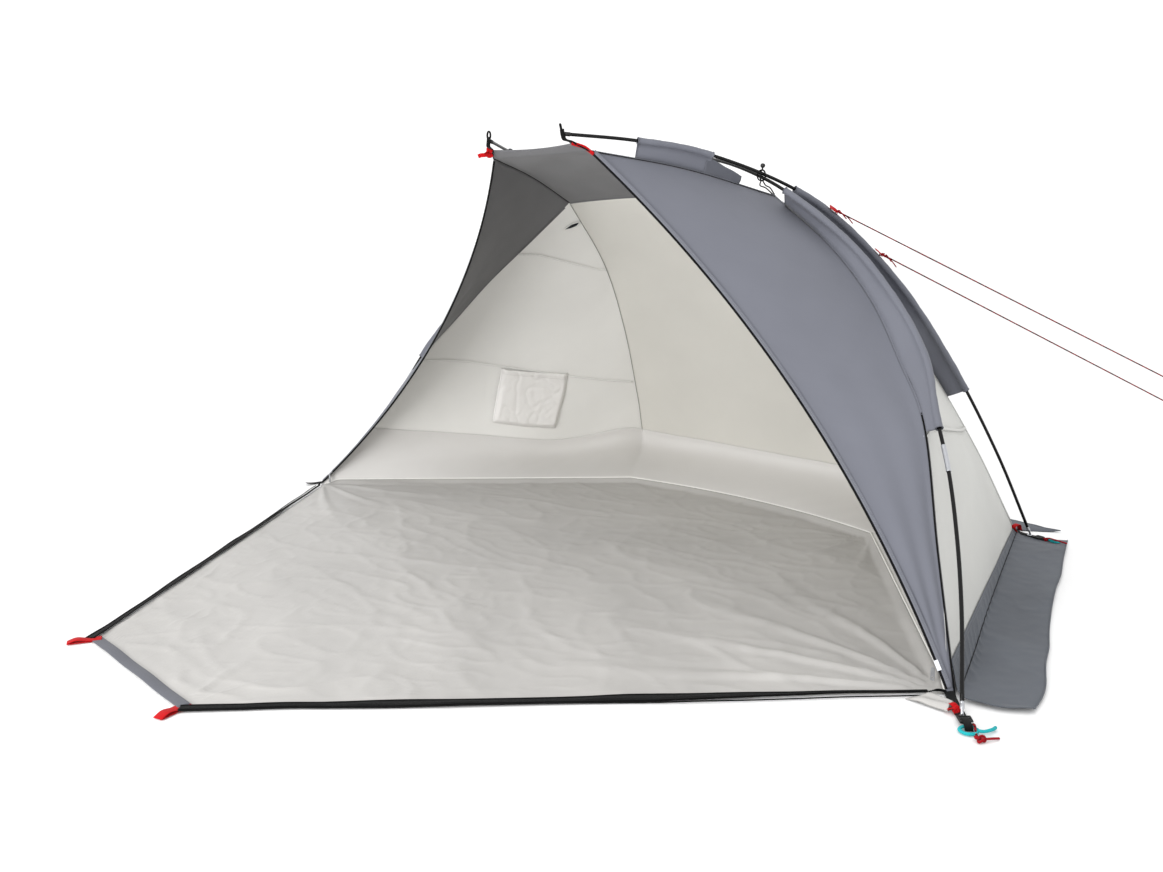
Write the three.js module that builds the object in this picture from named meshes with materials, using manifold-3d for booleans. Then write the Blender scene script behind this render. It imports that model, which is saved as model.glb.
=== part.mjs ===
// A three-pole beach shelter. Two side poles and one hoop pole hold a canopy over a groundsheet,
// and the front half of the groundsheet zips up as a door.
// Millimetres. X runs along the opening, Y into the shelter, Z up. The origin is on the ground,
// in the middle of the line where the door meets the groundsheet.
import * as THREE from "three";
import { mergeVertices } from "three/addons/utils/BufferGeometryUtils.js";
import Module from "manifold-3d";

const wasm = await Module();
wasm.setup();

// ---------------------------------------------------------------- driving dimensions
const FLOOR_HALF_WIDTH = 1340; // half of the opening's width on the ground
const FLOOR_REAR_HALF = 550;
const FLOOR_REAR_Y = 930;
const FLOOR_REAR_BOW = 70;
const DOOR_DEPTH = 1250; // from the hinge line to the door's outer edge
const DOOR_OUTER_HALF = 265;
const DOOR_SKEW = 45; // the door is cut and laid so that its outer edge sits this far to the right
const HINGE_Y = -12;
const SHEET = 2; // thickness that stands for the groundsheet and door
const FABRIC = 2; // thickness that stands for the canopy fabric
const SEAM_GAP = 3; // each panel stops this far from its seam line

const POLE_RADIUS = 4.75;
const POLE_BORE = 3.3;
const SHOCK_CORD_RADIUS = 1.25;
const FERRULE_LENGTH = 74;
const FERRULE_BORE = 5.35;
const FERRULE_RADIUS = 6.1;
const SLEEVE_BORE = 8;
const SLEEVE_RADIUS = 9.4;
const PIN_LENGTH = 30;

const SIDE_POLE_TIP = [164, -45, 1239]; // the strap pulls the tip in, off the pole's straight line
const SIDE_POLE_LINE = { start: { x: 183, y: -74 }, foot: { x: 878, y: 1331 } }; // seen from above
const CROSSING_Y = 452; // where the hoop passes under the side poles
const ZIP_TOP = [209, 0, 1195];
const ZIP_BOTTOM = [1345, 0, 8];
const ZIP_BOW = 160; // how far the opening's edge bends back into the shelter
const TAPE_WIDTH = 12;
const TAPE_THICK = 1.6;
const TAPE_TILT = THREE.MathUtils.degToRad(52); // turns the tape's flat side into the front panel
const ROPE_RADIUS = 1.5;

// Points of the right half, each [x, y, z].
const SIDE_POLE_PROFILE = [
  [110, 1224], [300, 1193], [600, 1068], [850, 842], [1040, 580], [1210, 285], [1331, 34],
]; // [y, z] in the pole's own upright plane
const HOOP_TOP = [[690, 497, 968], [880, 462, 810], [1010, 410, 670], [1085, 345, 545]];
const HOOP_FOOT = { // below the sleeve the pole bows out on the right, and stands close to the wall on the left
  right: [[1170, 270, 422], [1254, 173, 293], [1332, 66, 169], [1416, -68, 31]],
  left: [[1200, 252, 322], [1310, 126, 112], [1357, 76, 34]],
};
const HOOP_JOINT_X = 1151; // where the steel ferrule joins its last two sections
const HOOP_APEX = [0, 548, 1212];
const CROSSING_SEAM = [444, 512, 1080];
const FRONT_SEAM = [ZIP_TOP, [329, 252, 1152], CROSSING_SEAM];
const HOOP_SEAM = [
  CROSSING_SEAM, [651, 498, 940], [826, 448, 796], [955, 386, 654], [1057, 329, 536],
  [1204, 179, 253], [1356, 12, 4],
];
const REAR_SEAM = [
  CROSSING_SEAM, [557, 789, 857], [660, 997, 596], [764, 1180, 292], [822, 1290, 80], [818, 1366, 4],
];
const ROOF_MIDDLE = [0, 480, 1092]; // top of the seam under the hoop
const COVING_TOP = { side: 0.86, corner: 0.75 }; // where the coving leaves the wall, as a share of the way down

const SLEEVES = { // stretches of the poles, as y on the side poles and x on the hoop
  front: [118, 316],
  rear: [545, 1093],
  hoop: [520, 1107],
};
const ROPES = [ // each leaves the right side pole's sleeve at a height along it, given as y
  { fromY: 655, to: [1189, 1565, 524] },
  { fromY: 792, to: [1183, 1605, 443] },
];
const ROPE_START = 16; // from the pole's middle to the rope's start
const POCKET = { width: 278, height: 223, depth: 20, skin: 2, across: 0.483, down: 0.717, clear: 22 };

// ---------------------------------------------------------------- materials
const material = (color, roughness, metalness = 0) =>
  new THREE.MeshStandardMaterial({ color, roughness, metalness });
const greyFabric = material(0x80828e, 0.75);
const beigeFabric = material(0xc8c6be, 0.8);
const groundPlastic = material(0xb4b1a8, 0.6);
const flapFabric = material(0x5c626c, 0.75);
const fibreglass = material(0x141414, 0.4);
const steel = material(0xb9bbbd, 0.3, 0.9);
const blackWebbing = material(0x17171a, 0.85);
const redWebbing = material(0xc81e1e, 0.8);
const elastic = material(0xe8e6e0, 0.9);
const rope = material(0x8e1d24, 0.85);

// ---------------------------------------------------------------- geometry helpers
const V = (p) => new THREE.Vector3(...p);
const mirrored = (p, side) => new THREE.Vector3(side * p[0], p[1], p[2]);
const curveOf = (points, side = 1) =>
  new THREE.CatmullRomCurve3(points.map((p) => mirrored(p, side)), false, "centripetal");

// A clean indexed geometry with merged corners and its faces turned outwards.
function closed(geometry) {
  const bare = new THREE.BufferGeometry();
  bare.setAttribute("position", geometry.getAttribute("position"));
  bare.setIndex(geometry.index);
  const merged = mergeVertices(bare, 1e-3);
  const p = merged.attributes.position;
  const index = merged.index.array;
  const [a, b, c] = [new THREE.Vector3(), new THREE.Vector3(), new THREE.Vector3()];
  let volume = 0;
  for (let i = 0; i < index.length; i += 3) {
    a.fromBufferAttribute(p, index[i]);
    b.fromBufferAttribute(p, index[i + 1]);
    c.fromBufferAttribute(p, index[i + 2]);
    volume += a.dot(b.cross(c));
  }
  if (volume < 0)
    for (let i = 0; i < index.length; i += 3)
      [index[i + 1], index[i + 2]] = [index[i + 2], index[i + 1]];
  merged.computeVertexNormals();
  return merged;
}

const manifoldOf = (geometry) => {
  const g = closed(geometry);
  return new wasm.Manifold(
    new wasm.Mesh({
      numProp: 3,
      vertProperties: g.attributes.position.array,
      triVerts: new Uint32Array(g.index.array),
    }),
  );
};

function geometryOf(manifold) {
  const mesh = manifold.getMesh();
  const g = new THREE.BufferGeometry();
  g.setAttribute("position", new THREE.BufferAttribute(mesh.vertProperties, 3));
  g.setIndex(new THREE.BufferAttribute(mesh.triVerts, 1));
  return g;
}

// Joins rings of points into one closed solid. Each station is { outer: [...], inner: [...] },
// where inner, if given, is the ring of a hole that runs right through.
function loft(stations) {
  const positions = [];
  const index = [];
  const wall = (key) => {
    const start = positions.length / 3;
    const n = stations[0][key].length;
    stations.forEach((s) => s[key].forEach((p) => positions.push(p.x, p.y, p.z)));
    for (let i = 0; i + 1 < stations.length; i++)
      for (let j = 0; j < n; j++) {
        const k = (j + 1) % n;
        const [a, b] = [start + i * n + j, start + i * n + k];
        index.push(...(key === "outer" ? [a, b, b + n, a, b + n, a + n] : [a, b + n, b, a, a + n, b + n]));
      }
    return start;
  };
  const outerStart = wall("outer");
  const holed = stations[0].inner !== undefined;
  const innerStart = holed ? wall("inner") : 0;
  const flat = (s) => ({ contour: s.flatOuter, holes: holed ? [s.flatInner] : [] });
  const cap = (station, row, reversed) => {
    const { contour, holes } = flat(station);
    const n = contour.length;
    const at = (i) => (i < n ? outerStart + row * n + i : innerStart + row * holes[0].length + i - n);
    THREE.ShapeUtils.triangulateShape(contour, holes).forEach(([a, b, c]) =>
      index.push(...(reversed ? [at(a), at(c), at(b)] : [at(a), at(b), at(c)])));
  };
  cap(stations[0], 0, true);
  cap(stations[stations.length - 1], stations.length - 1, false);
  const g = new THREE.BufferGeometry();
  g.setAttribute("position", new THREE.Float32BufferAttribute(positions, 3));
  g.setIndex(index);
  return g;
}

// A closed sheet of even thickness over the surface point(u, v), with u and v from 0 to 1.
function sheet(point, columns, rows, thickness) {
  const grid = [];
  for (let i = 0; i <= columns; i++)
    for (let j = 0; j <= rows; j++) grid.push(point(i / columns, j / rows));
  const at = (i, j) => grid[i * (rows + 1) + j];
  const clampTo = (value, top) => Math.min(Math.max(value, 0), top);
  const positions = [];
  for (const face of [0.5, -0.5])
    for (let i = 0; i <= columns; i++)
      for (let j = 0; j <= rows; j++) {
        const du = at(clampTo(i + 1, columns), j).clone().sub(at(clampTo(i - 1, columns), j));
        const dv = at(i, clampTo(j + 1, rows)).clone().sub(at(i, clampTo(j - 1, rows)));
        const p = du.cross(dv).normalize().multiplyScalar(face * thickness).add(at(i, j));
        positions.push(p.x, p.y, p.z);
      }
  const index = [];
  const back = (columns + 1) * (rows + 1);
  const quad = (a, b, c, d) => index.push(a, b, c, a, c, d);
  for (let i = 0; i < columns; i++)
    for (let j = 0; j < rows; j++) {
      const a = i * (rows + 1) + j;
      const b = a + rows + 1;
      quad(a, b, b + 1, a + 1);
      quad(back + a, back + a + 1, back + b + 1, back + b);
    }
  const rim = [];
  for (let i = 0; i < columns; i++) rim.push(i * (rows + 1));
  for (let j = 0; j < rows; j++) rim.push(columns * (rows + 1) + j);
  for (let i = columns; i > 0; i--) rim.push(i * (rows + 1) + rows);
  for (let j = rows; j > 0; j--) rim.push(j);
  rim.forEach((a, k) => {
    const b = rim[(k + 1) % rim.length];
    quad(a, back + a, back + b, b);
  });
  const g = new THREE.BufferGeometry();
  g.setAttribute("position", new THREE.Float32BufferAttribute(positions, 3));
  g.setIndex(index);
  return g;
}

// A surface stretched between four edge curves, which share their corners.
function patch(left, right, top, bottom) {
  return (u, v) => {
    const across = left.getPoint(v).multiplyScalar(1 - u).add(right.getPoint(v).multiplyScalar(u));
    const down = top.getPoint(u).multiplyScalar(1 - v).add(bottom.getPoint(u).multiplyScalar(v));
    const ends = top.getPoint(0).multiplyScalar((1 - u) * (1 - v))
      .add(top.getPoint(1).multiplyScalar(u * (1 - v)))
      .add(bottom.getPoint(0).multiplyScalar((1 - u) * v))
      .add(bottom.getPoint(1).multiplyScalar(u * v));
    return across.add(down).sub(ends);
  };
}

// The same surface, drawn in from its edges: by millimetres across, and by shares down.
function inset(surface, leftGap, rightGap, from, to) {
  return (u, v) => {
    const row = from + (to - from) * v;
    const width = surface(0, row).distanceTo(surface(1, row));
    return surface(leftGap / width + (1 - (leftGap + rightGap) / width) * u, row);
  };
}

// The part of a curve between two shares of its length, as a curve of its own.
class Stretch extends THREE.Curve {
  constructor(base, from, to) {
    super();
    Object.assign(this, { base, from, to });
  }
  getPoint(t) {
    return this.base.getPointAt(THREE.MathUtils.lerp(this.from, this.to, t));
  }
}

const circle = (radius, sides) => {
  const shape = new THREE.Shape();
  for (let i = 0; i < sides; i++) {
    const angle = (2 * Math.PI * i) / sides;
    shape[i ? "lineTo" : "moveTo"](radius * Math.cos(angle), radius * Math.sin(angle));
  }
  return shape;
};

function tube(path, radius, bore, steps, sides) {
  const section = circle(radius, sides);
  if (bore) section.holes.push(circle(bore, sides));
  return new THREE.ExtrudeGeometry(section, { steps, extrudePath: path, bevelEnabled: false });
}

// The share of the curve's length at which one coordinate reaches a value.
function shareWhere(curve, axis, value) {
  const STEPS = 2000;
  let best = 0;
  for (let i = 0; i <= STEPS; i++) {
    const distance = (k) => Math.abs(curve.getPointAt(k / STEPS)[axis] - value);
    if (distance(i) < distance(best)) best = i;
  }
  return best / STEPS;
}

function nearestOn(curve, point) {
  const STEPS = 300;
  let best = curve.getPointAt(0);
  for (let i = 1; i <= STEPS; i++) {
    const p = curve.getPointAt(i / STEPS);
    if (p.distanceTo(point) < best.distanceTo(point)) best = p;
  }
  return best;
}

// A flat plate from an outline of [x, y] points, lying at height z.
function plate(outline, z, thickness, hole) {
  const shape = new THREE.Shape(outline.map(([x, y]) => new THREE.Vector2(x, y)));
  if (hole) {
    const opening = circle(hole.radius, 12);
    const path = new THREE.Path(opening.getPoints().map((p) => p.add(new THREE.Vector2(...hole.at))));
    shape.holes.push(path);
  }
  const g = new THREE.ExtrudeGeometry(shape, { depth: thickness, bevelEnabled: false });
  return g.translate(0, 0, z);
}

const root = new THREE.Group();
function add(name, geometry, look) {
  const mesh = new THREE.Mesh(closed(geometry), look);
  mesh.name = name;
  root.add(mesh);
  return mesh;
}
const SIDES = [["left", -1], ["right", 1]];

// ---------------------------------------------------------------- poles
const sidePoleX = (y) => {
  const { start, foot } = SIDE_POLE_LINE;
  return THREE.MathUtils.mapLinear(y, start.y, foot.y, start.x, foot.x);
};
const sidePole = (side) =>
  curveOf([SIDE_POLE_TIP, ...SIDE_POLE_PROFILE.map(([y, z]) => [sidePoleX(y), y, z])], side);
const crossing = sidePole(1).getPointAt(shareWhere(sidePole(1), "y", CROSSING_Y));
const hoopCrossing = [crossing.x, crossing.y, crossing.z - 2 * POLE_RADIUS - 1];
const hoopHalf = (hand) => [hoopCrossing, ...HOOP_TOP, ...HOOP_FOOT[hand]];
const hoopPole = new THREE.CatmullRomCurve3(
  [...hoopHalf("left").map((p) => mirrored(p, -1)).reverse(), V(HOOP_APEX), ...hoopHalf("right").map(V)],
  false, "centripetal");

function poleSections(name, curve, joints, steps) {
  const gap = 0.3 / curve.getLength();
  const ends = [0, ...joints, 1];
  joints.concat(1).forEach((to, i) => {
    const from = ends[i];
    const stretch = new Stretch(curve, from + (i ? gap : 0), to - (to < 1 ? gap : 0));
    const length = (to - from) * curve.getLength();
    add(`${name}_section_${i + 1}`, tube(stretch, POLE_RADIUS, POLE_BORE, Math.ceil(length / steps), 8),
      fibreglass);
  });
}

function ferrule(name, curve, share) {
  const half = FERRULE_LENGTH / 2 / curve.getLength();
  add(name, tube(new Stretch(curve, share - half, share + half), FERRULE_RADIUS, FERRULE_BORE, 2, 12), steel);
}

const SECTION_STEP = 60;
const hoopJoints = [-HOOP_JOINT_X, 0, HOOP_JOINT_X].map((x) => shareWhere(hoopPole, "x", x));
poleSections("hoop_pole", hoopPole, hoopJoints, SECTION_STEP);
ferrule("hoop_ferrule_left", hoopPole, hoopJoints[0]);
ferrule("hoop_ferrule_right", hoopPole, hoopJoints[2]);
const CORD_MARGIN = 0.003;
add("hoop_shock_cord",
  tube(new Stretch(hoopPole, CORD_MARGIN, 1 - CORD_MARGIN), SHOCK_CORD_RADIUS, 0, 96, 6), elastic);

for (const [hand, side] of SIDES) {
  const pole = sidePole(side);
  const joints = [shareWhere(pole, "y", 230), shareWhere(pole, "y", 850)];
  poleSections(`side_pole_${hand}`, pole, joints, SECTION_STEP);
  add(`side_shock_cord_${hand}`,
    tube(new Stretch(pole, CORD_MARGIN, 1 - CORD_MARGIN), SHOCK_CORD_RADIUS, 0, 30, 6), elastic);
}

// Steel end pins: a shoulder as wide as the pole, then a thin peg that goes through the foot strap's eyelet.
const PEG_RADIUS = 3;
const PEG_LENGTH = 12;
function footPin(name, curve, end) {
  const top = curve.getPointAt(end);
  const down = curve.getTangentAt(end).multiplyScalar(end ? 1 : -1);
  const profile = [
    [0, 0.4], [POLE_RADIUS, 0.4], [POLE_RADIUS, PIN_LENGTH - PEG_LENGTH - 2],
    [PEG_RADIUS, PIN_LENGTH - PEG_LENGTH], [PEG_RADIUS, PIN_LENGTH - 1], [0, PIN_LENGTH],
  ].map(([r, y]) => new THREE.Vector2(r, y));
  const g = new THREE.LatheGeometry(profile, 12);
  g.applyQuaternion(new THREE.Quaternion().setFromUnitVectors(new THREE.Vector3(0, 1, 0), down));
  add(name, g.translate(top.x, top.y, top.z), steel);
  return top.clone().addScaledVector(down, PIN_LENGTH - PEG_LENGTH / 2);
}
const pegs = {
  front_left: footPin("foot_pin_front_left", hoopPole, 0),
  front_right: footPin("foot_pin_front_right", hoopPole, 1),
  rear_left: footPin("foot_pin_rear_left", sidePole(-1), 1),
  rear_right: footPin("foot_pin_rear_right", sidePole(1), 1),
};

// ---------------------------------------------------------------- seams and the arc of the opening's edge
// The arc lies in a plane of its own: along its chord, and along Y.
function zipArc(side) {
  const [top, bottom] = [mirrored(ZIP_TOP, side), mirrored(ZIP_BOTTOM, side)];
  const chord = bottom.clone().sub(top);
  const half = chord.length() / 2;
  const radius = (half * half) / (2 * ZIP_BOW) + ZIP_BOW / 2;
  const along = chord.clone().normalize();
  const back = new THREE.Vector3(0, 1, 0);
  const centre = top.clone().add(bottom).multiplyScalar(0.5).addScaledVector(back, ZIP_BOW - radius);
  const axis = along.clone().cross(back).multiplyScalar(side);
  const reach = Math.asin(half / radius);
  const outward = (angle) =>
    back.clone().multiplyScalar(Math.cos(angle)).addScaledVector(along, Math.sin(angle));
  const at = (angle, r = 0, a = 0) =>
    centre.clone().addScaledVector(outward(angle), radius + r).addScaledVector(axis, a);
  return { centre, axis, radius, reach, at };
}

class ZipEdge extends THREE.Curve {
  constructor(arc) {
    super();
    this.arc = arc;
  }
  getPoint(t) {
    return this.arc.at(THREE.MathUtils.lerp(-this.arc.reach, this.arc.reach, t));
  }
}

// A profile of [r, a] points, out from the arc's centre and along its axis, carried round the arc.
function round(arc, profile, from, to, steps) {
  const flat = profile.map(([r, a]) => new THREE.Vector2(r, a));
  const stations = [];
  for (let i = 0; i <= steps; i++) {
    const angle = THREE.MathUtils.lerp(from, to, i / steps);
    stations.push({ outer: profile.map(([r, a]) => arc.at(angle, r, a)), flatOuter: flat });
  }
  return loft(stations);
}

// A rectangle in the (r, a) plane, turned by the tape's tilt about the arc.
const tilted = (points) => points.map(([w, t]) => [
  w * Math.cos(TAPE_TILT) - t * Math.sin(TAPE_TILT),
  w * Math.sin(TAPE_TILT) + t * Math.cos(TAPE_TILT),
]);

const seams = (side) => ({
  front: curveOf(FRONT_SEAM, side),
  hoop: curveOf(HOOP_SEAM, side),
  rear: curveOf(REAR_SEAM, side),
});
const line = (a, b) => new THREE.LineCurve3(a, b);

// ---------------------------------------------------------------- canopy
const [leftSeams, rightSeams] = [seams(-1), seams(1)];
const roofSeam = new THREE.QuadraticBezierCurve3(
  mirrored(CROSSING_SEAM, -1),
  new THREE.Vector3(0, 2 * ROOF_MIDDLE[1] - CROSSING_SEAM[1], 2 * ROOF_MIDDLE[2] - CROSSING_SEAM[2]),
  V(CROSSING_SEAM));
const roofEdge = line(mirrored(ZIP_TOP, -1), V(ZIP_TOP));
const roof = patch(leftSeams.front, rightSeams.front, roofEdge, roofSeam);
add("front_roof", sheet(inset(roof, SEAM_GAP, SEAM_GAP, 0.03, 0.99), 6, 6, FABRIC), greyFabric);

const rearBase = line(mirrored(REAR_SEAM.at(-1), -1), V(REAR_SEAM.at(-1)));
const rear = patch(leftSeams.rear, rightSeams.rear, roofSeam, rearBase);
add("rear_wall", sheet(inset(rear, SEAM_GAP, SEAM_GAP, 0.006, 1), 6, 12, FABRIC), beigeFabric);

const walls = {};
for (const [hand, side] of SIDES) {
  const { front, hoop, rear: back } = side < 0 ? leftSeams : rightSeams;
  const arc = zipArc(side);
  const corner = mirrored(CROSSING_SEAM, side);
  const frontPanel = patch(new ZipEdge(arc), hoop, front, line(arc.at(arc.reach), hoop.getPoint(1)));
  add(`front_panel_${hand}`, sheet(inset(frontPanel, TAPE_WIDTH + 2, SEAM_GAP, 0.006, 0.965), 4, 14, FABRIC),
    greyFabric);
  walls[hand] = patch(hoop, back, line(corner, corner), line(hoop.getPoint(1), back.getPoint(1)));
  add(`side_wall_${hand}`, sheet(inset(walls[hand], SEAM_GAP, SEAM_GAP, 0.05, 1), 6, 12, FABRIC), beigeFabric);
}

// ---------------------------------------------------------------- groundsheet, coving and sand flaps
const floorOutline = [
  [-FLOOR_HALF_WIDTH, HINGE_Y + 4], [FLOOR_HALF_WIDTH, HINGE_Y + 4], [FLOOR_REAR_HALF, FLOOR_REAR_Y],
  [FLOOR_REAR_HALF / 2, FLOOR_REAR_Y + FLOOR_REAR_BOW * 0.75], [0, FLOOR_REAR_Y + FLOOR_REAR_BOW],
  [-FLOOR_REAR_HALF / 2, FLOOR_REAR_Y + FLOOR_REAR_BOW * 0.75], [-FLOOR_REAR_HALF, FLOOR_REAR_Y],
];
add("groundsheet", plate(floorOutline, 0, SHEET), groundPlastic);

// The coving slopes from low on the walls down to the groundsheet's edge, round three sides.
const COVING_CLEAR = 18;
function covingEdges(t) {
  // t runs from the front left foot to the front right foot; each third is one side of the floor
  const third = Math.min(Math.floor(t * 3), 2);
  const s = t * 3 - third;
  const floorCorners = [
    [-FLOOR_HALF_WIDTH, 30], [-FLOOR_REAR_HALF, FLOOR_REAR_Y], [FLOOR_REAR_HALF, FLOOR_REAR_Y],
    [FLOOR_HALF_WIDTH, 30],
  ];
  const a = floorCorners[third];
  const b = floorCorners[third + 1];
  const bow = third === 1 ? FLOOR_REAR_BOW * 4 * s * (1 - s) : 0;
  const low = new THREE.Vector3(
    THREE.MathUtils.lerp(a[0], b[0], s), THREE.MathUtils.lerp(a[1], b[1], s) + bow, SHEET + 4);
  const surface = [walls.left, rear, walls.right][third];
  const share = third === 2 ? 1 - s : s;
  const rise = third === 1 ? 1 : THREE.MathUtils.smoothstep(share, 0.6, 1);
  const top = THREE.MathUtils.lerp(COVING_TOP.side, COVING_TOP.corner, rise);
  const high = surface(THREE.MathUtils.lerp(0.12, 0.98, share), top);
  const inward = new THREE.Vector3(0, FLOOR_REAR_Y / 2, high.z).sub(high).normalize();
  return { low, high: high.addScaledVector(inward, COVING_CLEAR) };
}
const coving = (u, v) => {
  const { low, high } = covingEdges(THREE.MathUtils.lerp(0.012, 0.988, u));
  const p = low.clone().lerp(high, v);
  p.z = THREE.MathUtils.lerp(low.z, high.z, v ** 1.5);
  return p;
};
add("coving", sheet(coving, 27, 3, FABRIC), beigeFabric);

const SAND_FLAP = 3;
for (const [hand, side] of SIDES) {
  const outline = [[1378, 22], [1517, 68], [989, 1383], [864, 1290]].map(([x, y]) => [side * x, y]);
  add(`sand_flap_${hand}`, plate(outline, 0, SAND_FLAP), flapFabric);
}
add("sand_flap_rear", plate([[-826, 1376], [826, 1376], [925, 1470], [-925, 1470]], 0, SAND_FLAP), flapFabric);

// ---------------------------------------------------------------- door
const doorEdgeX = (y, clear) =>
  THREE.MathUtils.mapLinear(y, 0, -DOOR_DEPTH, FLOOR_HALF_WIDTH, DOOR_OUTER_HALF) - clear;
const skewed = ([x, y]) => [x - DOOR_SKEW * Math.max(y, -DOOR_DEPTH) / DOOR_DEPTH, y];
const doorBack = HINGE_Y - 4;
const doorOutline = [
  [doorEdgeX(doorBack, TAPE_WIDTH + 4), doorBack], [doorEdgeX(-DOOR_DEPTH, TAPE_WIDTH + 4), -DOOR_DEPTH],
];
const doorRound = [...doorOutline, ...doorOutline.map(([x, y]) => [-x, y]).reverse()].map(skewed);
add("door", plate(doorRound, 0, SHEET), groundPlastic);
const TAB = { width: 26, length: 62 };
for (const [hand, side] of SIDES) {
  const tape = [
    [doorEdgeX(-34, TAPE_WIDTH), -34], [doorEdgeX(-34, 0), -34],
    [doorEdgeX(-DOOR_DEPTH, 0), -DOOR_DEPTH], [doorEdgeX(-DOOR_DEPTH, TAPE_WIDTH), -DOOR_DEPTH],
  ].map(([x, y]) => skewed([side * x, y]));
  add(`door_zip_${hand}`, plate(tape, 0, SHEET + 1), blackWebbing);
  const start = new THREE.Vector2(DOOR_OUTER_HALF - 4, -DOOR_DEPTH - 4);
  const out = new THREE.Vector2(0.35, -0.94);
  const across = new THREE.Vector2(-out.y, out.x).multiplyScalar(TAB.width / 2);
  const tip = start.clone().addScaledVector(out, TAB.length);
  const tab = [
    start.clone().add(across), tip.clone().add(across), tip.clone().sub(across), start.clone().sub(across),
  ].map((p) => skewed([side * p.x, Math.min(p.y, -DOOR_DEPTH - 1)]));
  add(`door_pull_${hand}`, plate(tab, 0, SHEET), redWebbing);
}

// ---------------------------------------------------------------- opening zips, sliders and pulls
const SLIDER_REST = 0.036; // share of the arc above the ground corner
const SLIDER_LENGTH = 24;
const PLATE_GAP = 0.9;
const PLATE_THICK = 1.4;
for (const [hand, side] of SIDES) {
  const arc = zipArc(side);
  const half = TAPE_THICK / 2;
  const tapeProfile = tilted([[0, -half], [TAPE_WIDTH, -half], [TAPE_WIDTH, half], [0, half]]);
  add(`opening_zip_${hand}`, round(arc, tapeProfile, -arc.reach * 0.97, arc.reach * 0.985, 24), blackWebbing);
  const inner = half + PLATE_GAP;
  const outer = inner + PLATE_THICK;
  const channel = tilted([
    [-2.4, -outer], [7, -outer], [7, -inner], [-1, -inner], [-1, inner], [7, inner], [7, outer], [-2.4, outer],
  ]);
  const middle = arc.reach * (1 - 2 * SLIDER_REST);
  const swing = SLIDER_LENGTH / 2 / arc.radius;
  add(`slider_${hand}`, round(arc, channel, middle - swing, middle + swing, 1), steel);

  // The pull hangs in front of the slider on a short bail.
  const hook = arc.at(middle, -6 * Math.cos(TAPE_TILT), -6 * Math.sin(TAPE_TILT));
  const pull = new THREE.Shape();
  pull.moveTo(-3, 0).lineTo(3, 0).lineTo(5, -10).lineTo(5, -30).lineTo(-5, -30).lineTo(-5, -10);
  pull.closePath();
  pull.holes.push(new THREE.Path(circle(2.4, 8).getPoints().map((p) => p.add(new THREE.Vector2(0, -23)))));
  const g = new THREE.ExtrudeGeometry(pull, { depth: 1.4, bevelEnabled: false });
  g.rotateX(Math.PI / 2).translate(hook.x, hook.y - 3.4, hook.z);
  add(`zip_pull_${hand}`, g, steel);
}

// ---------------------------------------------------------------- pole sleeves
// A sleeve wraps the pole and runs down to the seam as a double fin.
function sleeve(name, pole, seam, from, to) {
  const ARC_POINTS = 8;
  const HALF_OPENING = 0.12 * Math.PI;
  const stations = [];
  const steps = Math.max(4, Math.ceil(((to - from) * pole.getLength()) / 90));
  for (let i = 0; i <= steps; i++) {
    const share = THREE.MathUtils.lerp(from, to, i / steps);
    const centre = pole.getPointAt(share);
    const along = pole.getTangentAt(share);
    const target = nearestOn(seam, centre);
    const down = target.clone().sub(centre);
    down.addScaledVector(along, -down.dot(along));
    const reach = down.length() - 4;
    down.normalize();
    const across = along.clone().cross(down);
    const place = ([a, b]) => centre.clone().addScaledVector(down, a).addScaledVector(across, b);
    const outer = [[reach, -FABRIC / 2], [reach, FABRIC / 2]];
    for (let k = 0; k <= ARC_POINTS; k++) {
      const angle = THREE.MathUtils.lerp(HALF_OPENING, 2 * Math.PI - HALF_OPENING, k / ARC_POINTS);
      outer.push([SLEEVE_RADIUS * Math.cos(angle), SLEEVE_RADIUS * Math.sin(angle)]);
    }
    const inner = [];
    for (let k = 0; k < ARC_POINTS; k++) {
      const angle = (2 * Math.PI * k) / ARC_POINTS;
      inner.push([SLEEVE_BORE * Math.cos(angle), SLEEVE_BORE * Math.sin(angle)]);
    }
    const flat = (ring) => ring.map(([a, b]) => new THREE.Vector2(a, b));
    stations.push({
      outer: outer.map(place), inner: inner.map(place), flatOuter: flat(outer), flatInner: flat(inner),
    });
  }
  add(name, loft(stations), greyFabric);
}
for (const [hand, side] of SIDES) {
  const pole = sidePole(side);
  const own = side < 0 ? leftSeams : rightSeams;
  const between = (range) => range.map((y) => shareWhere(pole, "y", y));
  sleeve(`front_sleeve_${hand}`, pole, own.front, ...between(SLEEVES.front));
  sleeve(`rear_sleeve_${hand}`, pole, own.rear, ...between(SLEEVES.rear));
  const hoopRange = SLEEVES.hoop.map((x) => shareWhere(hoopPole, "x", side * x));
  sleeve(`hoop_sleeve_${hand}`, hoopPole, own.hoop, Math.min(...hoopRange), Math.max(...hoopRange));
}

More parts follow.
